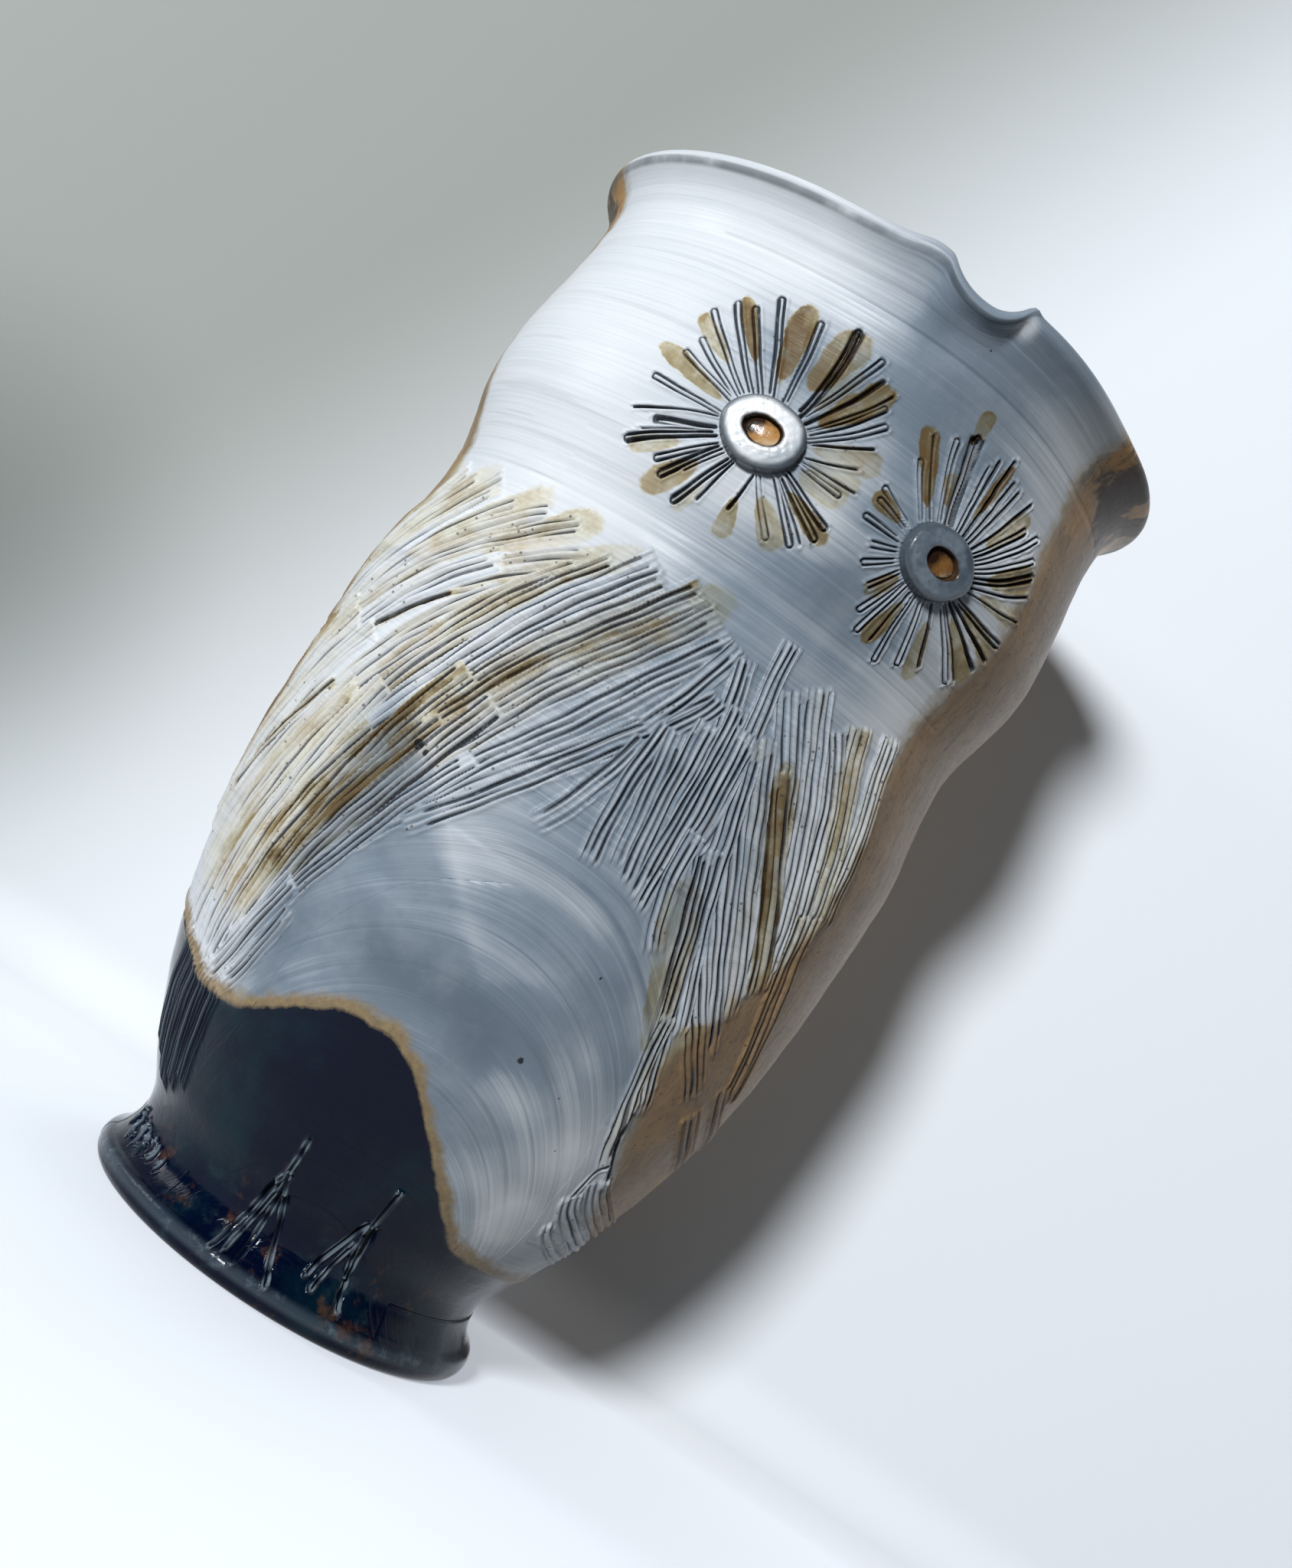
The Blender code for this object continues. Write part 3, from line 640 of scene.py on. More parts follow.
def keep(mesh, name, values):
    """Keep a value for each vertex, for the materials to read."""
    layer = mesh.attributes.new(name, "FLOAT", "POINT")
    layer.data.foreach_set("value", np.ascontiguousarray(values, np.float32))


def keep_marks(mesh, angle, height, relief):
    """Keep what the glazes follow: grooves, crumbs, ochre and the edges of each glaze."""
    keep(mesh, "cut", relief.cut)
    keep(mesh, "raised", relief.raised)
    inside, strength = daubed(angle, height)
    combed = relief.ochre > inside * strength
    inside = np.where(combed, np.clip(relief.ochre * 2.5, 0, 1), inside)
    strength = np.where(combed, relief.ochre, strength)
    keep(mesh, "ochre", inside)
    keep(mesh, "ochre_strength", strength)
    keep(mesh, "glaze_edge", guide(GLAZE_EDGE, angle) - height)
    left = (angle - guide(FLANK_EDGE, height)) * DEGREE
    right = (guide(BACK_EDGE, height) - angle) * DEGREE
    keep(mesh, "clay_edge", np.maximum(left, right))
    droop = np.minimum((angle + 6) ** 2 * DEGREE ** 2 / 75, 40)
    keep(mesh, "stroke", height + droop * ease((118 - height) / 16) * ease((70 - np.abs(angle)) / 20))
    keep(mesh, "thin", slip_thinness_and_shade(angle, height))


def edit(piece, mode="VERT"):
    """Open one piece in edit mode with nothing selected."""
    bpy.ops.object.select_all(action="DESELECT")
    piece.select_set(True)
    bpy.context.view_layer.objects.active = piece
    bpy.ops.object.mode_set(mode="EDIT")
    bpy.ops.mesh.select_mode(type=mode)
    bpy.ops.mesh.select_all(action="DESELECT")


def close_edit():
    """Go back to object mode."""
    bpy.ops.object.mode_set(mode="OBJECT")


def finish_piece(piece, surface):
    """Give a piece its material, smooth shading and its body."""
    piece.data.materials.clear()
    piece.data.materials.append(surface)
    piece.data.shade_smooth()
    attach(piece, "root")
    return piece


def spun(name, section, steps, closed):
    """Spin a section, given as radius and height in millimetres, into a closed solid."""
    mesh = bpy.data.meshes.new(name)
    links = [(index, index + 1) for index in range(len(section) - 1)]
    if closed:
        links.append((len(section) - 1, 0))
    mesh.from_pydata([(0, -radius * MM, height * MM) for radius, height in section], links, [])
    piece = bpy.data.objects.new(name, mesh)
    bpy.context.scene.collection.objects.link(piece)
    edit(piece)
    bpy.ops.mesh.select_all(action="SELECT")
    bpy.ops.mesh.spin(steps=steps, angle=math.tau, center=(0, 0, 0), axis=(0, 0, 1))
    bpy.ops.mesh.select_all(action="SELECT")
    bpy.ops.mesh.remove_doubles(threshold=0.00002)
    bpy.ops.mesh.normals_make_consistent(inside=False)
    close_edit()
    return piece


def grid(name, columns, rows):
    """Add a flat grid whose X and Y run from 0 to 1."""
    bpy.ops.object.select_all(action="DESELECT")
    bpy.ops.mesh.primitive_grid_add(x_subdivisions=columns, y_subdivisions=rows, size=1,
                                    location=(0, 0, 0))
    piece = bpy.context.object
    piece.name = name
    piece.data.name = name
    return piece


def skin_points(angle, height, out):
    """Return points of the jug's skin, raised or sunk along its slope."""
    slope = skin_slope(height)
    level = 1 / np.sqrt(1 + slope ** 2)
    radius = skin_radius(height) + out * level
    return points_of(angle, radius, height - out * slope * level)


PANEL_BACK = -2.2
PANEL_STAND = 0.03


def panel(name, columns, rows, place, strokes, surface, **tool):
    """Lay a finely divided panel on the jug, cut strokes in it and close its back."""
    front = grid(name, columns, rows)
    shares = coordinates(front.data)[:, :2] * MM + 0.5
    angle, height = place(shares[:, 0], shares[:, 1])
    relief = Relief(angle, height)
    for stroke in strokes:
        relief.comb(*stroke, **tool)
    inside = ease(panel_room(angle, height) / 1.5)
    broad = turned_relief(angle, height) + slip_edges(angle, height)
    out = broad + (relief.raised - relief.cut) * inside + PANEL_STAND
    set_coordinates(front.data, skin_points(angle, height, out))
    keep_marks(front.data, angle, height, relief)
    back = grid(name + "_back", columns // 8, rows // 8)
    shares = coordinates(back.data)[:, :2] * MM + 0.5
    back_angle, back_height = place(shares[:, 0], shares[:, 1])
    set_coordinates(back.data, skin_points(back_angle, back_height, PANEL_BACK))
    edit(back)
    bpy.ops.mesh.select_all(action="SELECT")
    bpy.ops.mesh.flip_normals()
    close_edit()
    bpy.ops.object.select_all(action="DESELECT")
    back.select_set(True)
    front.select_set(True)
    bpy.context.view_layer.objects.active = front
    bpy.ops.object.join()
    edit(front, "EDGE")
    bpy.ops.mesh.select_non_manifold()
    bpy.ops.mesh.mark_sharp()
    bpy.ops.mesh.bridge_edge_loops()
    close_edit()
    return finish_piece(front, surface)


def between(left, right, bottom, top):
    """Return the rule that lays a panel between two guides and two heights."""
    def place(across, up):
        height = blend(bottom, top, up)
        return blend(guide(left, height), guide(right, height), across), height
    return place


def upright(left, right, bottom, top):
    """Return the rule that lays a panel between two angles and two heights."""
    return between(((0, left), (HEIGHT, left)), ((0, right), (HEIGHT, right)), bottom, top)


def crowded(angle, amount):
    """Draw angles together at the front of the jug."""
    return angle - np.degrees(amount * np.sin(np.radians(angle)))


def wall_section():
    """Return the wall's section: outside up, round the rim and down the inside."""
    heights = [FOOT_HEIGHT - 0.4]
    heights += list(np.linspace(FOOT_HEIGHT, BELLY_START, 5))
    heights += list(np.linspace(BELLY_START + 1.4, COLLAR_HEIGHT, 142))
    heights += [level + step for level, _, _ in TURNED_LINES[:2] for step in (-0.7, -0.35, 0, 0.35, 0.7)]
    outer = [(float(skin_radius(height)), height) for height in sorted(heights)]
    for turn in np.linspace(0, FLARE_ANGLE, 12)[1:]:
        outer.append((COLLAR_RADIUS + FLARE_RADIUS * (1 - math.cos(turn)),
                      COLLAR_HEIGHT + FLARE_RADIUS * math.sin(turn)))
    rough = [outer[index] for index in range(0, len(outer), 4)]
    rough[-1] = outer[-1]
    inner = []
    for index, (radius, height) in enumerate(rough):
        slope = float(skin_slope(np.array(height)))
        along = Vector((slope, 1)).normalized()
        if index == 0:
            along = Vector((0, 1))
        if index == len(rough) - 1:
            along = Vector((math.sin(FLARE_ANGLE), math.cos(FLARE_ANGLE)))
        share = min((height - FOOT_HEIGHT) / (NECK_HEIGHT - FOOT_HEIGHT), 1)
        wall = blend(WALL_AT_FOOT, WALL_AT_RIM, share)
        inner.append((radius - wall * along.y, height + wall * along.x))
    centre = (Vector(outer[-1]) + Vector(inner[-1])) / 2
    reach = Vector(outer[-1]) - centre
    over = Vector((-reach.y, reach.x))
    edge = []
    for turn in np.linspace(0, math.pi, 11)[1:-1]:
        edge.append(tuple(centre + reach * math.cos(turn) + over * math.sin(turn)))
    return outer + edge + inner[::-1]


def build_wall(surface):
    """Make the thrown wall, sunk a little under the finely cut panels."""
    piece = spun("thrown_wall", wall_section(), 400, closed=True)
    angle, radius, height = measured(piece.data)
    angle = crowded(angle, 0.35)
    outside = radius > skin_radius(height) - 1.2
    outside |= height > HEIGHT - 2.2
    slope = skin_slope(np.minimum(height, HEIGHT - 5))
    level = 1 / np.sqrt(1 + slope ** 2)
    out = turned_relief(angle, height) + slip_edges(angle, height)
    out = out - 1.6 * ease((panel_room(angle, height) - 1.2) / 3)
    out = np.where(outside, out, 0)
    inner_waves = 0.25 * np.sin(height / 3.7 + 1.6 * np.sin(np.radians(angle)))
    inner_waves = inner_waves * ease((HEIGHT - 4 - height) / 8)
    out = np.where(outside | (height < FOOT_HEIGHT + 8), out, inner_waves)
    set_coordinates(piece.data, points_of(angle, radius + out * level, height - out * slope * level))
    keep_marks(piece.data, angle, height, Relief(angle, height))
    keep(piece.data, "within", (~outside).astype(float))
    keep(piece.data, "rim", height - 4 * ease((angle - 4) / 5))
    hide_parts("body")
    return finish_piece(piece, surface)


def foot_section():
    """Return the foot's section, from the middle of its floor out and down to the base."""
    seat = WAIST_RADIUS - WALL_AT_FOOT - 0.6
    section = [(0, FLOOR_THICKNESS)]
    section += [(radius, FLOOR_THICKNESS) for radius in np.linspace(4, seat - 8, 8)]
    for share in np.linspace(0, 1, 9)[1:]:
        rise = blend(FLOOR_THICKNESS, FOOT_HEIGHT - 0.4, float(ease(share)))
        section.append((blend(seat - 8, seat, share), rise))
    heights = list(np.linspace(FOOT_HEIGHT - 0.4, FLANGE_HEIGHT, 14))
    section += [(float(skin_radius(height)), height) for height in heights]
    for turn in np.linspace(0, math.pi / 2, 8)[1:]:
        radius = blend(BASE_RADIUS, FLANGE_RADIUS, math.cos(turn))
        section.append((radius, FLANGE_HEIGHT * (1 - math.sin(turn))))
    section += [(radius, 0) for radius in (45.5, 43, 36, 28, 20, 12, 5)]
    section.append((0, 0))
    return section


def build_foot(surface):
    """Make the turned foot, with a soft flange that is a little uneven."""
    piece = spun("turned_foot", foot_section(), 240, closed=False)
    angle, radius, height = measured(piece.data)
    angle = np.where(radius < 0.5, 0, crowded(angle, 0.3))
    outside = (radius > WAIST_RADIUS - 0.8) & (height > 0.2)
    out = turned_relief(angle, height) * 0.6 - 1.2 * ease((panel_room(angle, height) - 0.8) / 2.5)
    out = np.where(outside, out, 0)
    set_coordinates(piece.data, points_of(angle, radius + out, height))
    keep_marks(piece.data, angle, height, Relief(angle, height))
    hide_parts("foot")
    return finish_piece(piece, surface)


def build_panels(surface):
    """Lay the panels that carry the combing, the rays and the claws."""
    wing = between(WING_OUTSIDE, WING_INSIDE, WING_SPLIT, PANEL_TOP)
    panel("right_wing", 305, 308, wing, RIGHT_WING + CHEST[:2], surface)
    wing = between(WING_OUTSIDE, WING_INSIDE, RIGHT_BOTTOM, WING_SPLIT)
    panel("right_wing_tip", 290, 322, wing, RIGHT_WING, surface)
    chest = between(WING_INSIDE, CHEST_OUTSIDE, CHEST_BOTTOM, PANEL_TOP)
    panel("chest", 180, 246, chest, RIGHT_WING + LEFT_WING + CHEST, surface)
    wing = between(CHEST_OUTSIDE, OTHER_WING_OUTSIDE, LEFT_BOTTOM, PANEL_TOP)
    panel("left_wing", 292, 320, wing, CHEST + LEFT_WING, surface)
    right = upright(FACE_ENDS[0], FACE_MIDDLE, PANEL_TOP, FACE_TOP)
    loop = {"groove": 0.27, "taper": 0.62, "burr": 0.9, "fade": 0.7, "looped": True}
    panel("right_rays", 298, 314, right, rays_of(-1, RIGHT_RAYS), surface, **loop)
    left = upright(FACE_MIDDLE, FACE_ENDS[1], PANEL_TOP, FACE_TOP)
    panel("left_rays", 298, 314, left, rays_of(1, LEFT_RAYS), surface, **loop)
    claws = upright(CLAW_ENDS[0], CLAW_ENDS[1], CLAW_BOTTOM, CLAW_TOP)
    panel("claws", 290, 168, claws, CLAWS, surface, groove=0.42, burr=3.0, lip=0.6, fade=1.2, heap=0.8)
    curls = upright(CURL_ENDS[0], CURL_ENDS[1], CLAW_BOTTOM, RIGHT_BOTTOM)
    panel("flange_curls", 180, 72, curls, CURLS, surface, groove=0.4, burr=2.8, lip=0.5, fade=0.8)


def eye_section():
    """Return half of an eye pad's section: pit, soft edge, side and flat back."""
    share = PIT_WIDTH / EYE_WIDTH
    section = [(0, EYE_THICKNESS - PIT_DEPTH)]
    for turn in np.linspace(0.15, math.pi / 2, 9):
        level = EYE_THICKNESS - PIT_DEPTH * math.cos(turn) - 0.12
        section.append((share * blend(0.8, 1.04, math.sin(turn)), level))
    section.append((share + 0.07, EYE_THICKNESS + 0.06))
    for reach in np.linspace(share + 0.16, 1 - EYE_EDGE / EYE_WIDTH * 2, 5):
        section.append((reach, EYE_THICKNESS))
    for turn in np.linspace(0, math.pi / 2, 9)[1:]:
        section.append((1 - EYE_EDGE / EYE_WIDTH * 2 * (1 - math.sin(turn)),
                        EYE_THICKNESS - EYE_EDGE * (1 - math.cos(turn))))
    section += [(1.0, 0.5), (1.03, 0.1), (1.0, -0.5), (0.6, -0.5), (0, -0.5)]
    return section


def pupil_section():
    """Return half of a pool of glaze: a low dome with a thin meniscus."""
    reach = PIT_WIDTH / EYE_WIDTH * 0.9
    section = []
    for turn in np.linspace(0, math.pi / 2, 9):
        section.append((reach * math.sin(turn), EYE_THICKNESS - PIT_DEPTH + 0.45 + 0.5 * math.cos(turn)))
    section.append((0, EYE_THICKNESS - PIT_DEPTH + 0.1))
    return section


def build_on_head(name, section, side, node, surface):
    """Spin an oval piece and lay it on the head's double curve."""
    scaled = [(radius * EYE_WIDTH / 2, height) for radius, height in section]
    piece = spun(name, scaled, 72, closed=False)
    points = coordinates(piece.data)
    reach = np.hypot(points[:, 0], points[:, 1]) / (EYE_WIDTH / 2)
    share = PIT_WIDTH / EYE_WIDTH
    flatness = blend(PIT_HEIGHT / PIT_WIDTH, EYE_HEIGHT / EYE_WIDTH, ease((reach - share) / (1 - share)))
    turn = np.arctan2(points[:, 1], points[:, 0])
    # A hand-pressed pad isn't a true oval
    wobble = 1 + 0.012 * np.sin(3 * turn + side) + 0.010 * np.sin(5 * turn + 2 * side)
    across = points[:, 0] * wobble
    height = EYE_LEVEL + points[:, 1] * flatness * wobble
    angle = side * EYE_ANGLE + np.degrees(across / HEAD_RADIUS)
    out = points[:, 2] + GAP + 0.05 * np.sin(3 * across) * np.sin(2.3 * height) * (reach > share)
    set_coordinates(piece.data, points_of(angle, skin_radius(height) + out, height))
    keep(piece.data, "outward", reach)
    keep(piece.data, "leftward", points[:, 0] / (PIT_WIDTH / 2) - 0.35 * points[:, 1] / (PIT_HEIGHT / 2))
    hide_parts(node)
    return finish_piece(piece, surface)


def effect(name, inputs, outputs):
    """Start a shader group with named inputs and outputs."""
    group = bpy.data.node_groups.new(name, "ShaderNodeTree")
    for label, kind, value in inputs:
        socket = group.interface.new_socket(name=label, in_out="INPUT", socket_type=kind)
        if value is not None:
            socket.default_value = value
    for label, kind in outputs:
        group.interface.new_socket(name=label, in_out="OUTPUT", socket_type=kind)
    return group, group.nodes.new("NodeGroupInput"), group.nodes.new("NodeGroupOutput")


def node(tree, kind, **values):
    """Add a shader node; settings are attributes, and inputs are given by socket name."""
    made = tree.nodes.new(kind)
    for key, value in values.items():
        if hasattr(made, key):
            setattr(made, key, value)
        else:
            made.inputs[key.replace("_", " ")].default_value = value
    return made


def join(tree, source, target):
    """Link two sockets."""
    tree.links.new(source, target)


def maths(tree, operation, first, second=None, third=None, clamp=False):
    """Add a Math node on sockets or numbers and return its value."""
    made = tree.nodes.new("ShaderNodeMath")
    made.operation = operation
    made.use_clamp = clamp
    for socket, value in zip(made.inputs, (first, second, third)):
        if value is None:
            continue
        if isinstance(value, (int, float)):
            socket.default_value = value
        else:
            tree.links.new(value, socket)
    return made.outputs[0]


def noise(tree, vector, scale, detail=3, roughness=0.55):
    """Add a Noise Texture and return its value."""
    made = tree.nodes.new("ShaderNodeTexNoise")
    made.inputs["Scale"].default_value = scale
    made.inputs["Detail"].default_value = detail
    made.inputs["Roughness"].default_value = roughness
    tree.links.new(vector, made.inputs["Vector"])
    return made.outputs["Fac"]


def stepped(tree, value, low, high):
    """Map a value smoothly from 0 at low to 1 at high."""
    made = tree.nodes.new("ShaderNodeMapRange")
    made.interpolation_type = "SMOOTHSTEP"
    made.inputs["From Min"].default_value = low
    made.inputs["From Max"].default_value = high
    tree.links.new(value, made.inputs["Value"])
    return made.outputs["Result"]


def patches(tree, vector, scale, detail, roughness, low, high):
    """Return soft patches: a noise mapped smoothly from 0 at low to 1 at high."""
    return stepped(tree, noise(tree, vector, scale, detail, roughness), low, high)


def times(tree, first, second):
    """Multiply two values, each a socket or a number."""
    return maths(tree, "MULTIPLY", first, second)


def rest_of(tree, value):
    """Return what a value leaves of 1."""
    return maths(tree, "SUBTRACT", 1, value)


def centred(tree, value):
    """Move a value that runs from 0 to 1, so that its middle is 0."""
    return maths(tree, "SUBTRACT", value, 0.5)


def split(tree, vector):
    """Return a vector's three parts."""
    made = tree.nodes.new("ShaderNodeSeparateXYZ")
    join(tree, vector, made.inputs[0])
    return made.outputs


def distance_to(tree, place, spot):
    """Return how far each point lies from a spot, in metres."""
    made = node(tree, "ShaderNodeVectorMath", operation="DISTANCE")
    made.inputs[1].default_value = spot
    join(tree, place, made.inputs[0])
    return made.outputs["Value"]


def mixed(tree, share, first, second, kind="MIX"):
    """Mix two colours, each a socket or a plain colour."""
    made = tree.nodes.new("ShaderNodeMix")
    made.data_type = "RGBA"
    made.blend_type = kind
    sockets = (made.inputs[0], made.inputs[6], made.inputs[7])
    for socket, value in zip(sockets, (share, first, second)):
        if isinstance(value, (int, float)):
            socket.default_value = value
        elif isinstance(value, tuple):
            socket.default_value = (*value, 1)
        else:
            tree.links.new(value, socket)
    return made.outputs[2]


def coated(tree, colour, *coats):
    """Lay coats over a colour: for each, a mask, how strongly it lies, and its own colour."""
    for mask, amount, coat in coats:
        colour = mixed(tree, times(tree, mask, amount), colour, coat)
    return colour


def roughen(tree, shader, relief, strength, distance):
    """Tilt a shader's normal by a fine relief."""
    bump = node(tree, "ShaderNodeBump", Strength=strength, Distance=distance)
    join(tree, relief, bump.inputs["Height"])
    join(tree, bump.outputs[0], shader.inputs["Normal"])


def place_group(tree, group, *links, **values):
    """Place a group in a material with its own values."""
    made = tree.nodes.new("ShaderNodeGroup")
    made.node_tree = group
    for name, source in links:
        tree.links.new(source, made.inputs[name])
    for name, value in values.items():
        made.inputs[name.replace("_", " ")].default_value = value
    return made.outputs


# What the brush leaves: how fine it is round the jug, for each metre, and up the jug, for each
# millimetre, and how much detail it has
BRUSHINGS = (("Band", 9, 0.16, 4), ("Hair", 16, 1.5, 4), ("Scratch", 11, 0.5, 6))


def effects():
    """Make the shader groups that the finishes share."""
    vector = "NodeSocketVector"
    number = "NodeSocketFloat"
    made = {}
    group, given, result = effect(
        "brushed_bands",
        [("Object", vector, None), ("Stroke", number, 0)],
        [("Band", number), ("Hair", number), ("Scratch", number)],
    )
    parts = split(group, given.outputs["Object"])
    for label, level, rise, detail in BRUSHINGS:
        joined = group.nodes.new("ShaderNodeCombineXYZ")
        join(group, times(group, parts[0], level), joined.inputs[0])
        join(group, times(group, parts[1], level), joined.inputs[1])
        join(group, times(group, given.outputs["Stroke"], rise), joined.inputs[2])
        join(group, noise(group, joined.outputs[0], 1, detail, 0.6), result.inputs[label])
    made["bands"] = group

    group, given, result = effect(
        "wandering_edge",
        [("Object", vector, None), ("Distance", number, 0), ("Wander", number, 1),
         ("Softness", number, 0.5)],
        [("Past", number)],
    )
    coarse = noise(group, given.outputs["Object"], 170, 4, 0.65)
    shift = times(group, centred(group, coarse), given.outputs["Wander"])
    moved = maths(group, "ADD", given.outputs["Distance"], shift)
    past = maths(group, "DIVIDE", moved, given.outputs["Softness"])
    join(group, maths(group, "ADD", past, 0.5, clamp=True), result.inputs["Past"])
    made["edge"] = group

    group, given, result = effect(
        "specks",
        [("Object", vector, None), ("Scale", number, 400), ("Size", number, 0.2)],
        [("Speck", number)],
    )
    cells = group.nodes.new("ShaderNodeTexVoronoi")
    join(group, given.outputs["Object"], cells.inputs["Vector"])
    join(group, given.outputs["Scale"], cells.inputs["Scale"])
    near = maths(group, "SUBTRACT", given.outputs["Size"], cells.outputs["Distance"])
    chosen = maths(group, "GREATER_THAN", noise(group, given.outputs["Object"], 60), 0.52)
    spread = times(group, maths(group, "MULTIPLY", near, 14, clamp=True), chosen)
    join(group, spread, result.inputs["Speck"])
    made["specks"] = group
    return made


def new_surface(name):
    """Start a material, and return its tree, its shader and the place on the object."""
    made = bpy.data.materials.new(name)
    made.use_nodes = True
    tree = made.node_tree
    shader = tree.nodes["Principled BSDF"]
    shader.inputs["Metallic"].default_value = 0
    return made, tree, shader, tree.nodes.new("ShaderNodeTexCoord").outputs["Object"]


def attribute(tree, name):
    """Read a value that the mesh keeps for each vertex."""
    made = tree.nodes.new("ShaderNodeAttribute")
    made.attribute_name = name
    return made.outputs["Fac"]


# Burst bubbles, and the crack below the notch: angle, then height and radius in millimetres
PINHOLES = (
    (9.5, 94.1, 0.45), (6.75, 72.2, 0.75), (17, 69.7, 0.4), (-6, 82, 0.25), (24, 60, 0.3),
    (-36.4, 112.6, 1.3), (-34.4, 111.8, 0.8),
    (5.2, 243.6, 0.35), (5.3, 241.8, 0.3), (4.9, 240, 0.3), (4.4, 238.6, 0.25),
)


def pinholes(tree, place):
    """Return a mask of the few burst bubbles in the slip."""
    rough = times(tree, noise(tree, place, 900, 2), 0.0008)
    mask = 0
    for angle, height, size in PINHOLES:
        spot = points_of(np.array(angle), skin_radius(height), np.array(float(height)))
        away = maths(tree, "ADD", distance_to(tree, place, [float(value) for value in spot]), rough)
        near = maths(tree, "SUBTRACT", size * MM + 0.0004, away)
        hole = maths(tree, "MULTIPLY", near, 4000, clamp=True)
        mask = maths(tree, "ADD", hole, mask, clamp=True)
    return mask


def white_slip(tree, place, bands, painted):
    """Return the brushed slip, thick and white or a thin blue-grey wash that is partly painted shade, and
    its masks.
    """
    cloud = noise(tree, place, 34, 5, 0.62)
    band = stepped(tree, bands["Band"], 0.36, 0.66)
    washed = maths(tree, "MULTIPLY", maths(tree, "SUBTRACT", painted, 0.9), 1.8, clamp=True)
    banded = maths(tree, "MULTIPLY_ADD", washed, -0.27, 0.42)
    uneven = maths(tree, "ADD", times(tree, centred(tree, cloud), 0.9),
                   times(tree, centred(tree, band), banded))
    held = maths(tree, "MULTIPLY_ADD", painted, 0.8, 0.2, clamp=True)
    thin = maths(tree, "ADD", painted, times(tree, uneven, held), clamp=True)
    # The grey-blue where the slip is thin is partly painted shade
    slip = mixed(tree, thin, (0.69, 0.725, 0.765), (0.225, 0.28, 0.34))
    slip = mixed(tree, washed, slip, (0.12, 0.155, 0.195))
    hair = stepped(tree, bands["Hair"], 0.40, 0.66)
    calm = maths(tree, "MULTIPLY_ADD", washed, -0.9, 1, clamp=True)
    lines = times(tree, hair, maths(tree, "MULTIPLY_ADD", held, 0.32, 0.04))
    bright = times(tree, stepped(tree, bands["Hair"], 0.46, 0.3), 0.14)
    scratch = stepped(tree, bands["Scratch"], 0.57, 0.64)
    marks = times(tree, scratch, maths(tree, "MULTIPLY_ADD", held, 0.34, 0.06))
    patch = patches(tree, place, 58, 5, 0.65, 0.42, 0.7)
    slip = coated(
        tree, slip,
        (lines, calm, (0.13, 0.165, 0.21)),
        (bright, calm, (0.70, 0.73, 0.76)),
        (marks, calm, (0.10, 0.13, 0.17)),
        (patch, times(tree, held, 0.22), (0.40, 0.45, 0.50)),
    )
    return slip, {"cloud": cloud, "held": held, "calm": calm, "hair": hair, "scratch": scratch}


def ochre_wash(tree, place, slip):
    """Wash ochre with ragged edges over the slip, and return the slip and how ochre it is."""
    rag = centred(tree, noise(tree, place, 230, 4, 0.7))
    inside = maths(tree, "ADD", attribute(tree, "ochre"), times(tree, rag, 1.1))
    cover = stepped(tree, inside, 0.30, 0.62)
    uneven = patches(tree, place, 120, 4, 0.65, 0.32, 0.66)
    uneven = maths(tree, "MULTIPLY_ADD", uneven, 0.55, 0.55)
    patchy = times(tree, times(tree, cover, attribute(tree, "ochre_strength")), uneven)
    tinted = maths(tree, "MINIMUM", patchy, 1)
    deeper = patches(tree, place, 75, 3, 0.55, 0.42, 0.62)
    wash = mixed(tree, deeper, (0.91, 0.79, 0.49), (0.78, 0.59, 0.29))
    slip = mixed(tree, tinted, slip, wash, "MULTIPLY")
    deep = maths(tree, "MULTIPLY", maths(tree, "SUBTRACT", patchy, 0.55), 1.1, clamp=True)
    return mixed(tree, deep, slip, (0.13, 0.085, 0.04)), tinted


def bare_clay(tree, place, height, grain):
    """Return the colour of brown clay with darker runs, amber and burnt near the rim."""
    drawn = node(tree, "ShaderNodeMapping", Scale=(420, 420, 60))
    join(tree, place, drawn.inputs["Vector"])
    high = stepped(tree, height, 0.218, 0.240)
    amber = times(tree, patches(tree, place, 44, 3, 0.6, 0.42, 0.60), high)
    burnt = times(tree, patches(tree, place, 68, 4, 0.6, 0.50, 0.58), high)
    cloudy = patches(tree, place, 26, 5, 0.6, 0.36, 0.66)
    return coated(
        tree, mixed(tree, cloudy, (0.34, 0.225, 0.12), (0.22, 0.14, 0.075)),
        (patches(tree, drawn.outputs[0], 1, 3, 0.6, 0.42, 0.7), 0.45, (0.12, 0.082, 0.055)),
        (stepped(tree, grain, 0.5, 0.72), 0.3, (0.06, 0.036, 0.022)),
        (patches(tree, place, 60, 3, 0.5, 0.56, 0.70), 0.4, (0.46, 0.27, 0.09)),
        (amber, 0.75, (0.47, 0.25, 0.07)),
        (burnt, 0.92, (0.022, 0.012, 0.008)),
    )


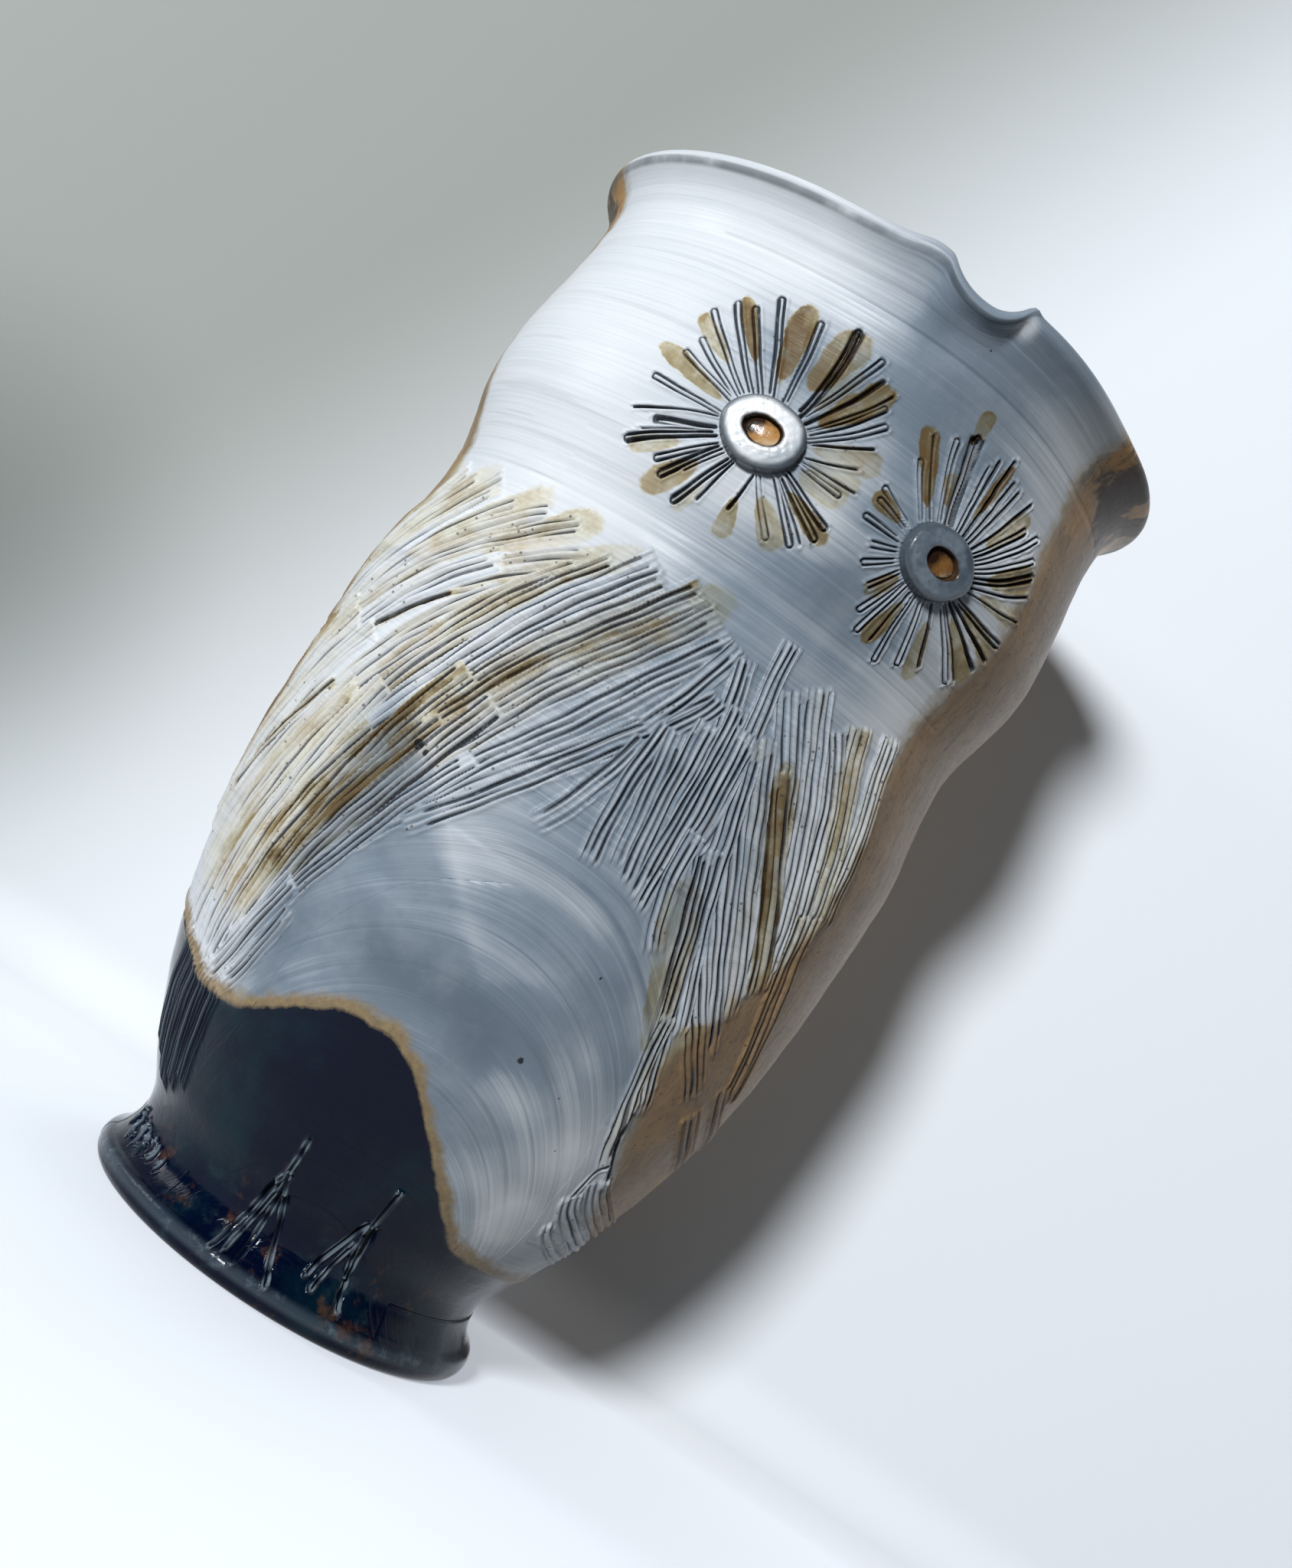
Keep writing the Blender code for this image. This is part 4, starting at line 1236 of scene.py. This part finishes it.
def glaze_pool(tree, place, height, raised):
    """Return the colour of the dark glaze, with painted highlights on its ridges and along the flange, and
    the rusty flecks low in it.
    """
    blue = patches(tree, place, 40, 5, 0.6, 0.46, 0.74)
    low = stepped(tree, height, 0.032, 0.010)
    flecks = times(tree, patches(tree, place, 120, 6, 0.7, 0.56, 0.70), low)
    frost = times(tree, patches(tree, place, 170, 5, 0.7, 0.5, 0.8), low)
    # A pale band along the flange's edge: painted highlight, where the glaze also breaks thin
    thin_glaze_and_highlight = times(tree, stepped(tree, height, 0.0022, 0.0036), stepped(tree, height, 0.0062, 0.0044))
    pool = coated(
        tree, mixed(tree, blue, (0.0006, 0.0030, 0.0150), (0.002, 0.017, 0.028)),
        (flecks, 0.5, (0.13, 0.055, 0.018)),
        (frost, 0.5, (0.03, 0.06, 0.07)),
        # Raised ridges in the glaze are painted pale: painted highlight, where the glaze also breaks thin
        (stepped(tree, raised, 0.3, 0.95), 0.75, (0.17, 0.22, 0.265)),
        (thin_glaze_and_highlight, maths(tree, "MULTIPLY_ADD", frost, 0.75, 0.2), (0.18, 0.24, 0.29)),
    )
    return pool, flecks


def fired_surface(shared):
    """Make the fired surface: slip, ochre, dark glaze and bare clay, laid by their edges."""
    made, tree, shader, place = new_surface("fired_slip_and_glaze")
    height = split(tree, place)[2]
    cut = attribute(tree, "cut")
    raised = attribute(tree, "raised")
    bands = place_group(tree, shared["bands"], ("Object", place), ("Stroke", attribute(tree, "stroke")))

    def past(distance, wander, softness):
        """Return 1 past an edge that wanders, and 0 before it."""
        return place_group(tree, shared["edge"], ("Object", place), ("Distance", distance),
                           Wander=wander, Softness=softness)["Past"]

    slip, brushed = white_slip(tree, place, bands, attribute(tree, "thin"))
    slip, tinted = ochre_wash(tree, place, slip)
    grain = noise(tree, place, 700, 2, 0.6)
    distance = attribute(tree, "clay_edge")
    bare = past(distance, 9.0, 4.0)
    seam = past(maths(tree, "ADD", distance, 2.4), 9.0, 4.5)
    slip = coated(tree, slip, (seam, 0.8, (0.31, 0.235, 0.115)))
    colour = mixed(tree, bare, slip, bare_clay(tree, place, height, grain))

    # The rim's edge: a dark line of painted shade under the edge, where the slip also ran thin and the
    # glaze crept under it
    edge = attribute(tree, "rim")
    line = times(tree, stepped(tree, edge, 245.9, 246.6), stepped(tree, edge, 248.2, 247.4))
    line = times(tree, line, stepped(tree, brushed["cloud"], 0.3, 0.6))

    # Grooves thin the slip at their sides and show the dark clay in their beds, and both are also painted
    # darker as shade in the hollows
    side = stepped(tree, cut, 0.04, 0.30)
    shown = maths(tree, "MULTIPLY_ADD", brushed["held"], 0.42, 0.10)
    broken = maths(tree, "MAXIMUM", patches(tree, place, 420, 3, 0.7, 0.2, 0.45), 0.75)
    bed = times(tree, stepped(tree, cut, 0.22, 0.46), broken)
    # Raised ridges are painted paler: a painted highlight on their crests
    crests = times(tree, stepped(tree, raised, 0.12, 0.5), rest_of(tree, tinted))
    crests = times(tree, crests, rest_of(tree, bare))
    # Burst bubbles along the ridges, and a few in the clay
    specks = place_group(tree, shared["specks"], ("Object", place), Scale=480.0, Size=0.19)["Speck"]
    rough = maths(tree, "MAXIMUM", stepped(tree, raised, 0.06, 0.25), bare)
    holes = pinholes(tree, place)
    # An ochre halo along the edge of the dark glaze
    edge = attribute(tree, "glaze_edge")
    halo = past(maths(tree, "ADD", edge, 2.9), 6.0, 2.2)
    colour = coated(
        tree, colour,
        (line, 0.7, (0.05, 0.065, 0.075)),
        (side, shown, mixed(tree, tinted, (0.12, 0.16, 0.21), (0.17, 0.11, 0.05))),
        (bed, 0.95, mixed(tree, tinted, (0.022, 0.032, 0.046), (0.026, 0.017, 0.009))),
        (crests, 0.30, (0.68, 0.71, 0.74)),
        (times(tree, specks, rough), 0.7, (0.05, 0.035, 0.025)),
        (holes, 0.93, (0.012, 0.014, 0.017)),
        (halo, 0.88, mixed(tree, grain, (0.36, 0.26, 0.12), (0.14, 0.09, 0.04))),
    )
    glaze = past(edge, 3.0, 1.0)
    pool, flecks = glaze_pool(tree, place, height, raised)
    colour = mixed(tree, glaze, colour, pool)
    colour = mixed(tree, attribute(tree, "within"), colour, (0.045, 0.028, 0.018))
    join(tree, colour, shader.inputs["Base Color"])

    # Gloss: satin slip, duller clay, and glaze like glass
    satin = maths(tree, "MULTIPLY_ADD", brushed["hair"], 0.10, 0.30)
    dull = maths(tree, "MULTIPLY_ADD", grain, 0.22, 0.26)
    wet = maths(tree, "MULTIPLY_ADD", flecks, 0.10, 0.07)
    roughness = satin
    for finish, share in ((dull, bare), (wet, glaze)):
        kept = times(tree, roughness, rest_of(tree, share))
        roughness = maths(tree, "ADD", kept, times(tree, finish, share))
    join(tree, roughness, shader.inputs["Roughness"])
    shader.inputs["IOR"].default_value = 1.24

    # Fine relief: brush hairs, orange peel in the glaze, grit in the clay, and pinholes
    peel = times(tree, noise(tree, place, 240, 3), 0.5)
    hairs = times(tree, bands["Hair"], maths(tree, "MULTIPLY_ADD", brushed["calm"], 0.38, 0.12))
    scratches = times(tree, brushed["scratch"], times(tree, brushed["held"], 0.2))
    relief = maths(tree, "SUBTRACT", maths(tree, "ADD", hairs, peel), scratches)
    relief = maths(tree, "ADD", relief, times(tree, times(tree, grain, bare), 0.4))
    relief = maths(tree, "SUBTRACT", relief, times(tree, holes, 2))
    roughen(tree, shader, relief, 0.35, 0.0004)
    return made


def eye_surface(name, pale, grey, dull):
    """Make the thick slip on an eye pad: painted shade down its side and on its side away from the light,
    and brown in its pit.
    """
    made, tree, shader, place = new_surface(name)
    cloud = patches(tree, place, 150, 5, 0.62, 0.36, 0.66)
    # The pad's side away from the light is painted grey: painted shade
    painted_far_side_shade = stepped(tree, attribute(tree, "leftward"), 0.7, 2.3)
    wander = times(tree, centred(tree, noise(tree, place, 260, 3)), 0.12)
    ragged_reach = maths(tree, "ADD", attribute(tree, "outward"), wander)
    colour = coated(
        tree, pale,
        (cloud, dull, grey),
        (painted_far_side_shade, 0.55, (0.16, 0.20, 0.24)),
        # The pad's side all round is painted dark: painted shade
        (stepped(tree, ragged_reach, 0.80, 0.96), 0.92, (0.065, 0.085, 0.105)),
        (stepped(tree, ragged_reach, 0.54, 0.46), 1, (0.05, 0.028, 0.014)),
        (patches(tree, place, 900, 2, 0.6, 0.66, 0.74), 0.5, (0.08, 0.05, 0.03)),
    )
    join(tree, colour, shader.inputs["Base Color"])
    join(tree, maths(tree, "MULTIPLY_ADD", cloud, 0.1, 0.22), shader.inputs["Roughness"])
    roughen(tree, shader, noise(tree, place, 420, 4), 0.35, 0.0003)
    return made


def amber_surface(name, gold):
    """Make the pooled amber glaze: dark brown where deep, gold and cream toward one side of the pit, where
    it thins and where painted light falls inside the pit.
    """
    made, tree, shader, place = new_surface(name)
    cloud = times(tree, centred(tree, noise(tree, place, 420, 4, 0.6)), 1.6)
    thin_and_lit = maths(tree, "ADD", attribute(tree, "leftward"), cloud)
    # Gold and cream toward the pit's lower side on the owl's left: thinner glaze, with painted light and a
    # painted highlight
    colour = mixed(tree, stepped(tree, thin_and_lit, -0.5, 0.35), (0.022, 0.011, 0.006), gold)
    colour = coated(tree, colour, (stepped(tree, thin_and_lit, 0.35, 0.9), 0.7, (0.72, 0.58, 0.38)))
    join(tree, colour, shader.inputs["Base Color"])
    join(tree, maths(tree, "MULTIPLY_ADD", cloud, 0.04, 0.20), shader.inputs["Roughness"])
    roughen(tree, shader, noise(tree, place, 380, 3), 0.5, 0.0004)
    return made


# The camera lies almost level with the belly, turned a little to the owl's right
CAMERA_DISTANCE = 1.6271 * HEIGHT * MM
CAMERA_HEIGHT = 0.41644 * HEIGHT * MM
CAMERA_SIDE = math.radians(8.993)
CAMERA_YAW = math.radians(1.44)
CAMERA_PITCH = math.radians(4.467)
CAMERA_ROLL = math.radians(33.645)
HEADING = CAMERA_SIDE + CAMERA_YAW
LENS = 39.97
SENSOR = 36


def camera_axes():
    """Return the camera's right, up and forward directions."""
    forward = Vector((math.sin(HEADING) * math.cos(CAMERA_PITCH),
                      math.cos(HEADING) * math.cos(CAMERA_PITCH), math.sin(CAMERA_PITCH)))
    right = Vector((math.cos(HEADING), -math.sin(HEADING), 0))
    up = right.cross(forward)
    turned_right = right * math.cos(CAMERA_ROLL) + up * math.sin(CAMERA_ROLL)
    turned_up = up * math.cos(CAMERA_ROLL) - right * math.sin(CAMERA_ROLL)
    return turned_right, turned_up, forward


def set_camera():
    """Place the camera as the photograph was taken."""
    right, up, forward = camera_axes()
    data = bpy.data.cameras.new("camera")
    data.sensor_fit = "VERTICAL"
    data.sensor_height = SENSOR
    data.lens = LENS
    camera = bpy.data.objects.new("camera", data)
    turn = Matrix((right, up, -forward)).transposed().to_4x4()
    spot = Vector((-CAMERA_DISTANCE * math.sin(CAMERA_SIDE),
                   -CAMERA_DISTANCE * math.cos(CAMERA_SIDE), CAMERA_HEIGHT))
    camera.matrix_world = Matrix.Translation(spot) @ turn
    bpy.context.scene.collection.objects.link(camera)
    bpy.context.scene.camera = camera


def lamp(name, place, aim, size, power, colour):
    """Add a soft round lamp that faces a point."""
    data = bpy.data.lights.new(name, "AREA")
    data.shape = "DISK"
    data.size = size
    data.energy = power
    data.color = colour
    made = bpy.data.objects.new(name, data)
    made.location = place
    made.rotation_euler = (Vector(aim) - Vector(place)).to_track_quat("-Z", "Y").to_euler()
    bpy.context.scene.collection.objects.link(made)


# The sheet: how far it reaches, how tightly it bends up, and where the bend starts, in metres
SHEET_REACH = 1.6
SHEET_BEND = 0.025
SHEET_START = 0.0515
BEND_STEPS = 12

# Its colours: lit, toward the grey corner, in the darkest spot of that corner, as the light
# that it throws back, and the dark table where it ends
SHEET_WHITE = (0.88, 0.93, 0.99)
SHEET_GREY = (0.345, 0.37, 0.352)
SHEET_DIM = (0.10, 0.12, 0.12)
SHEET_BOUNCE = (0.16, 0.17, 0.18)
TABLE_DARK = (0.03, 0.032, 0.035)
FLOOR_GLOW = (0.315, 0.335, 0.37)

# Where each gives way to the next: places and spans are in metres
GREY_DIRECTION = (-0.925, 0.418)
GREY_SPAN = (0.058, 0.205)
DIM_SPOT = (-0.178, 0.110, 0.092)
DIM_SPAN = (0.095, 0.004)
DIM_AMOUNT = 0.5
TABLE_SPAN = (0.20, 0.27)
GLOW_FADE = -13.5


def stage_surface():
    """Make the pale paper: grey-green toward one upper corner, and clear from behind."""
    made, tree, shader, place = new_surface("pale_paper")
    parts = split(tree, place)
    up = times(tree, parts[2], GREY_DIRECTION[1])
    slope = maths(tree, "MULTIPLY_ADD", parts[0], GREY_DIRECTION[0], up)
    colour = mixed(tree, stepped(tree, slope, *GREY_SPAN), SHEET_WHITE, SHEET_GREY)
    dim = stepped(tree, distance_to(tree, place, DIM_SPOT), *DIM_SPAN)
    colour = coated(tree, colour, (dim, DIM_AMOUNT, SHEET_DIM))
    # The paper ends in front of the jug, on a dark table that the glaze mirrors
    forward = times(tree, parts[0], -math.sin(HEADING))
    forward = maths(tree, "MULTIPLY_ADD", parts[1], -math.cos(HEADING), forward)
    colour = mixed(tree, stepped(tree, forward, *TABLE_SPAN), colour, TABLE_DARK)
    # Light that bounces off the paper is held back, so that the jug keeps its shadows
    path = tree.nodes.new("ShaderNodeLightPath")
    seen = maths(tree, "MAXIMUM", path.outputs["Is Camera Ray"], path.outputs["Is Glossy Ray"])
    seen = maths(tree, "MAXIMUM", seen, path.outputs["Is Transmission Ray"])
    colour = mixed(tree, seen, SHEET_BOUNCE, colour)
    join(tree, colour, shader.inputs["Base Color"])
    # The level floor is kept as white as the upright sheet, with the jug's soft shadow on it
    rise = maths(tree, "POWER", maths(tree, "MAXIMUM", parts[2], 0), 0.5)
    level = maths(tree, "MULTIPLY_ADD", rise, GLOW_FADE, 1, clamp=True)
    level = times(tree, level, seen)
    level = times(tree, level, stepped(tree, forward, *TABLE_SPAN[::-1]))
    join(tree, mixed(tree, level, (0, 0, 0), FLOOR_GLOW), shader.inputs["Emission Color"])
    shader.inputs["Emission Strength"].default_value = 1
    shader.inputs["Roughness"].default_value = 0.9
    shader.inputs["Specular IOR Level"].default_value = 0.1
    # The sheet casts no shadow itself, so a lamp behind it can reach the jug's back
    behind = tree.nodes.new("ShaderNodeNewGeometry").outputs["Backfacing"]
    clear = tree.nodes.new("ShaderNodeBsdfTransparent")
    mix = tree.nodes.new("ShaderNodeMixShader")
    join(tree, maths(tree, "MAXIMUM", behind, path.outputs["Is Shadow Ray"]), mix.inputs[0])
    join(tree, shader.outputs[0], mix.inputs[1])
    join(tree, clear.outputs[0], mix.inputs[2])
    join(tree, mix.outputs[0], tree.nodes["Material Output"].inputs["Surface"])
    return made


def build_stage():
    """Lay a pale sheet under the jug that sweeps up close behind it."""
    line = [(-SHEET_REACH, 0), (SHEET_START, 0)]
    for turn in np.linspace(0, math.pi / 2, BEND_STEPS + 1)[1:]:
        line.append((SHEET_START + SHEET_BEND * math.sin(turn), SHEET_BEND * (1 - math.cos(turn))))
    line.append((SHEET_START + SHEET_BEND, SHEET_REACH))
    mesh = bpy.data.meshes.new("backdrop")
    mesh.from_pydata([(-SHEET_REACH, y, z) for y, z in line],
                     [(index, index + 1) for index in range(len(line) - 1)], [])
    sheet = bpy.data.objects.new("backdrop", mesh)
    bpy.context.scene.collection.objects.link(sheet)
    edit(sheet)
    bpy.ops.mesh.select_all(action="SELECT")
    bpy.ops.mesh.extrude_region_move(TRANSFORM_OT_translate={"value": (2 * SHEET_REACH, 0, 0)})
    bpy.ops.mesh.select_all(action="SELECT")
    bpy.ops.mesh.normals_make_consistent(inside=False)
    close_edit()
    # The floor has to face up, and the order of the faces isn't the same each run
    if sum(face.normal.z for face in sheet.data.polygons) < 0:
        sheet.data.flip_normals()
    sheet.data.transform(Matrix.Rotation(-HEADING, 4, "Z"))
    sheet.data.shade_smooth()
    sheet.data.materials.append(stage_surface())


# The height that the lamps aim at, in metres, and the dim light of the room itself
LIT_HEIGHT = 0.13
ROOM_COLOUR = (0.72, 0.82, 0.95, 1)
ROOM_LIGHT = 0.02


def light_scene():
    """Set window light from the owl's right, with weaker lamps above, beside and behind."""
    away = Vector((math.sin(HEADING), math.cos(HEADING), 0))
    across = Vector((math.cos(HEADING), -math.sin(HEADING), 0))
    middle = Vector((0, 0, LIT_HEIGHT))

    def round_jug(turn, rise, distance):
        """Return a place turned to the owl's right of the camera and raised, in degrees."""
        turn = math.radians(turn)
        rise = math.radians(rise)
        level = -away * math.cos(turn) - across * math.sin(turn)
        return middle + (level * math.cos(rise) + Vector((0, 0, math.sin(rise)))) * distance

    lamp("window", round_jug(23.5, 17, 2.2), middle, 0.42, 49, (0.98, 0.99, 1.0))
    lamp("side_window", round_jug(80, 14, 0.8), middle, 0.2, 1.5, (0.94, 0.97, 1.0))
    lamp("sky", (-0.10, 0.06, 1.25), (-0.10, 0.06, 0), 0.6, 1.6, (0.96, 0.98, 1.0))
    lamp("bounce", round_jug(-92, 8, 0.6), middle, 0.4, 0.32, (1.0, 0.94, 0.86))
    lamp("far_window", round_jug(-150, 12, 1.2), middle, 0.8, 6, (0.96, 0.98, 1.0))
    world = bpy.data.worlds.new("room")
    world.use_nodes = True
    background = world.node_tree.nodes["Background"]
    background.inputs["Color"].default_value = ROOM_COLOUR
    background.inputs["Strength"].default_value = ROOM_LIGHT
    bpy.context.scene.world = world
    bpy.context.scene.view_settings.view_transform = "Standard"


def build_jug():
    """Build every piece of the jug."""
    shared = effects()
    fired = fired_surface(shared)
    build_wall(fired)
    build_foot(fired)
    build_panels(fired)
    pads = (
        ("right", -1, (0.74, 0.77, 0.80), (0.40, 0.45, 0.50), 0.7, (0.50, 0.26, 0.09)),
        # The left pad and its pool are darker, like the thin slip round them: partly painted shade
        ("left", 1, (0.18, 0.225, 0.27), (0.065, 0.09, 0.12), 1.0, (0.24, 0.115, 0.035)),
    )
    for name, side, pale, grey, dull, gold in pads:
        pad = eye_surface(name + "_eye_slip", pale, grey, dull)
        build_on_head(name + "_eye_pad", eye_section(), side, name + "_eye", pad)
        pool = amber_surface(name + "_amber_pool", gold)
        build_on_head(name + "_eye_pool", pupil_section(), side, name + "_pupil", pool)


bpy.ops.object.select_all(action="DESELECT")
set_camera()
build_stage()
light_scene()
build_jug()
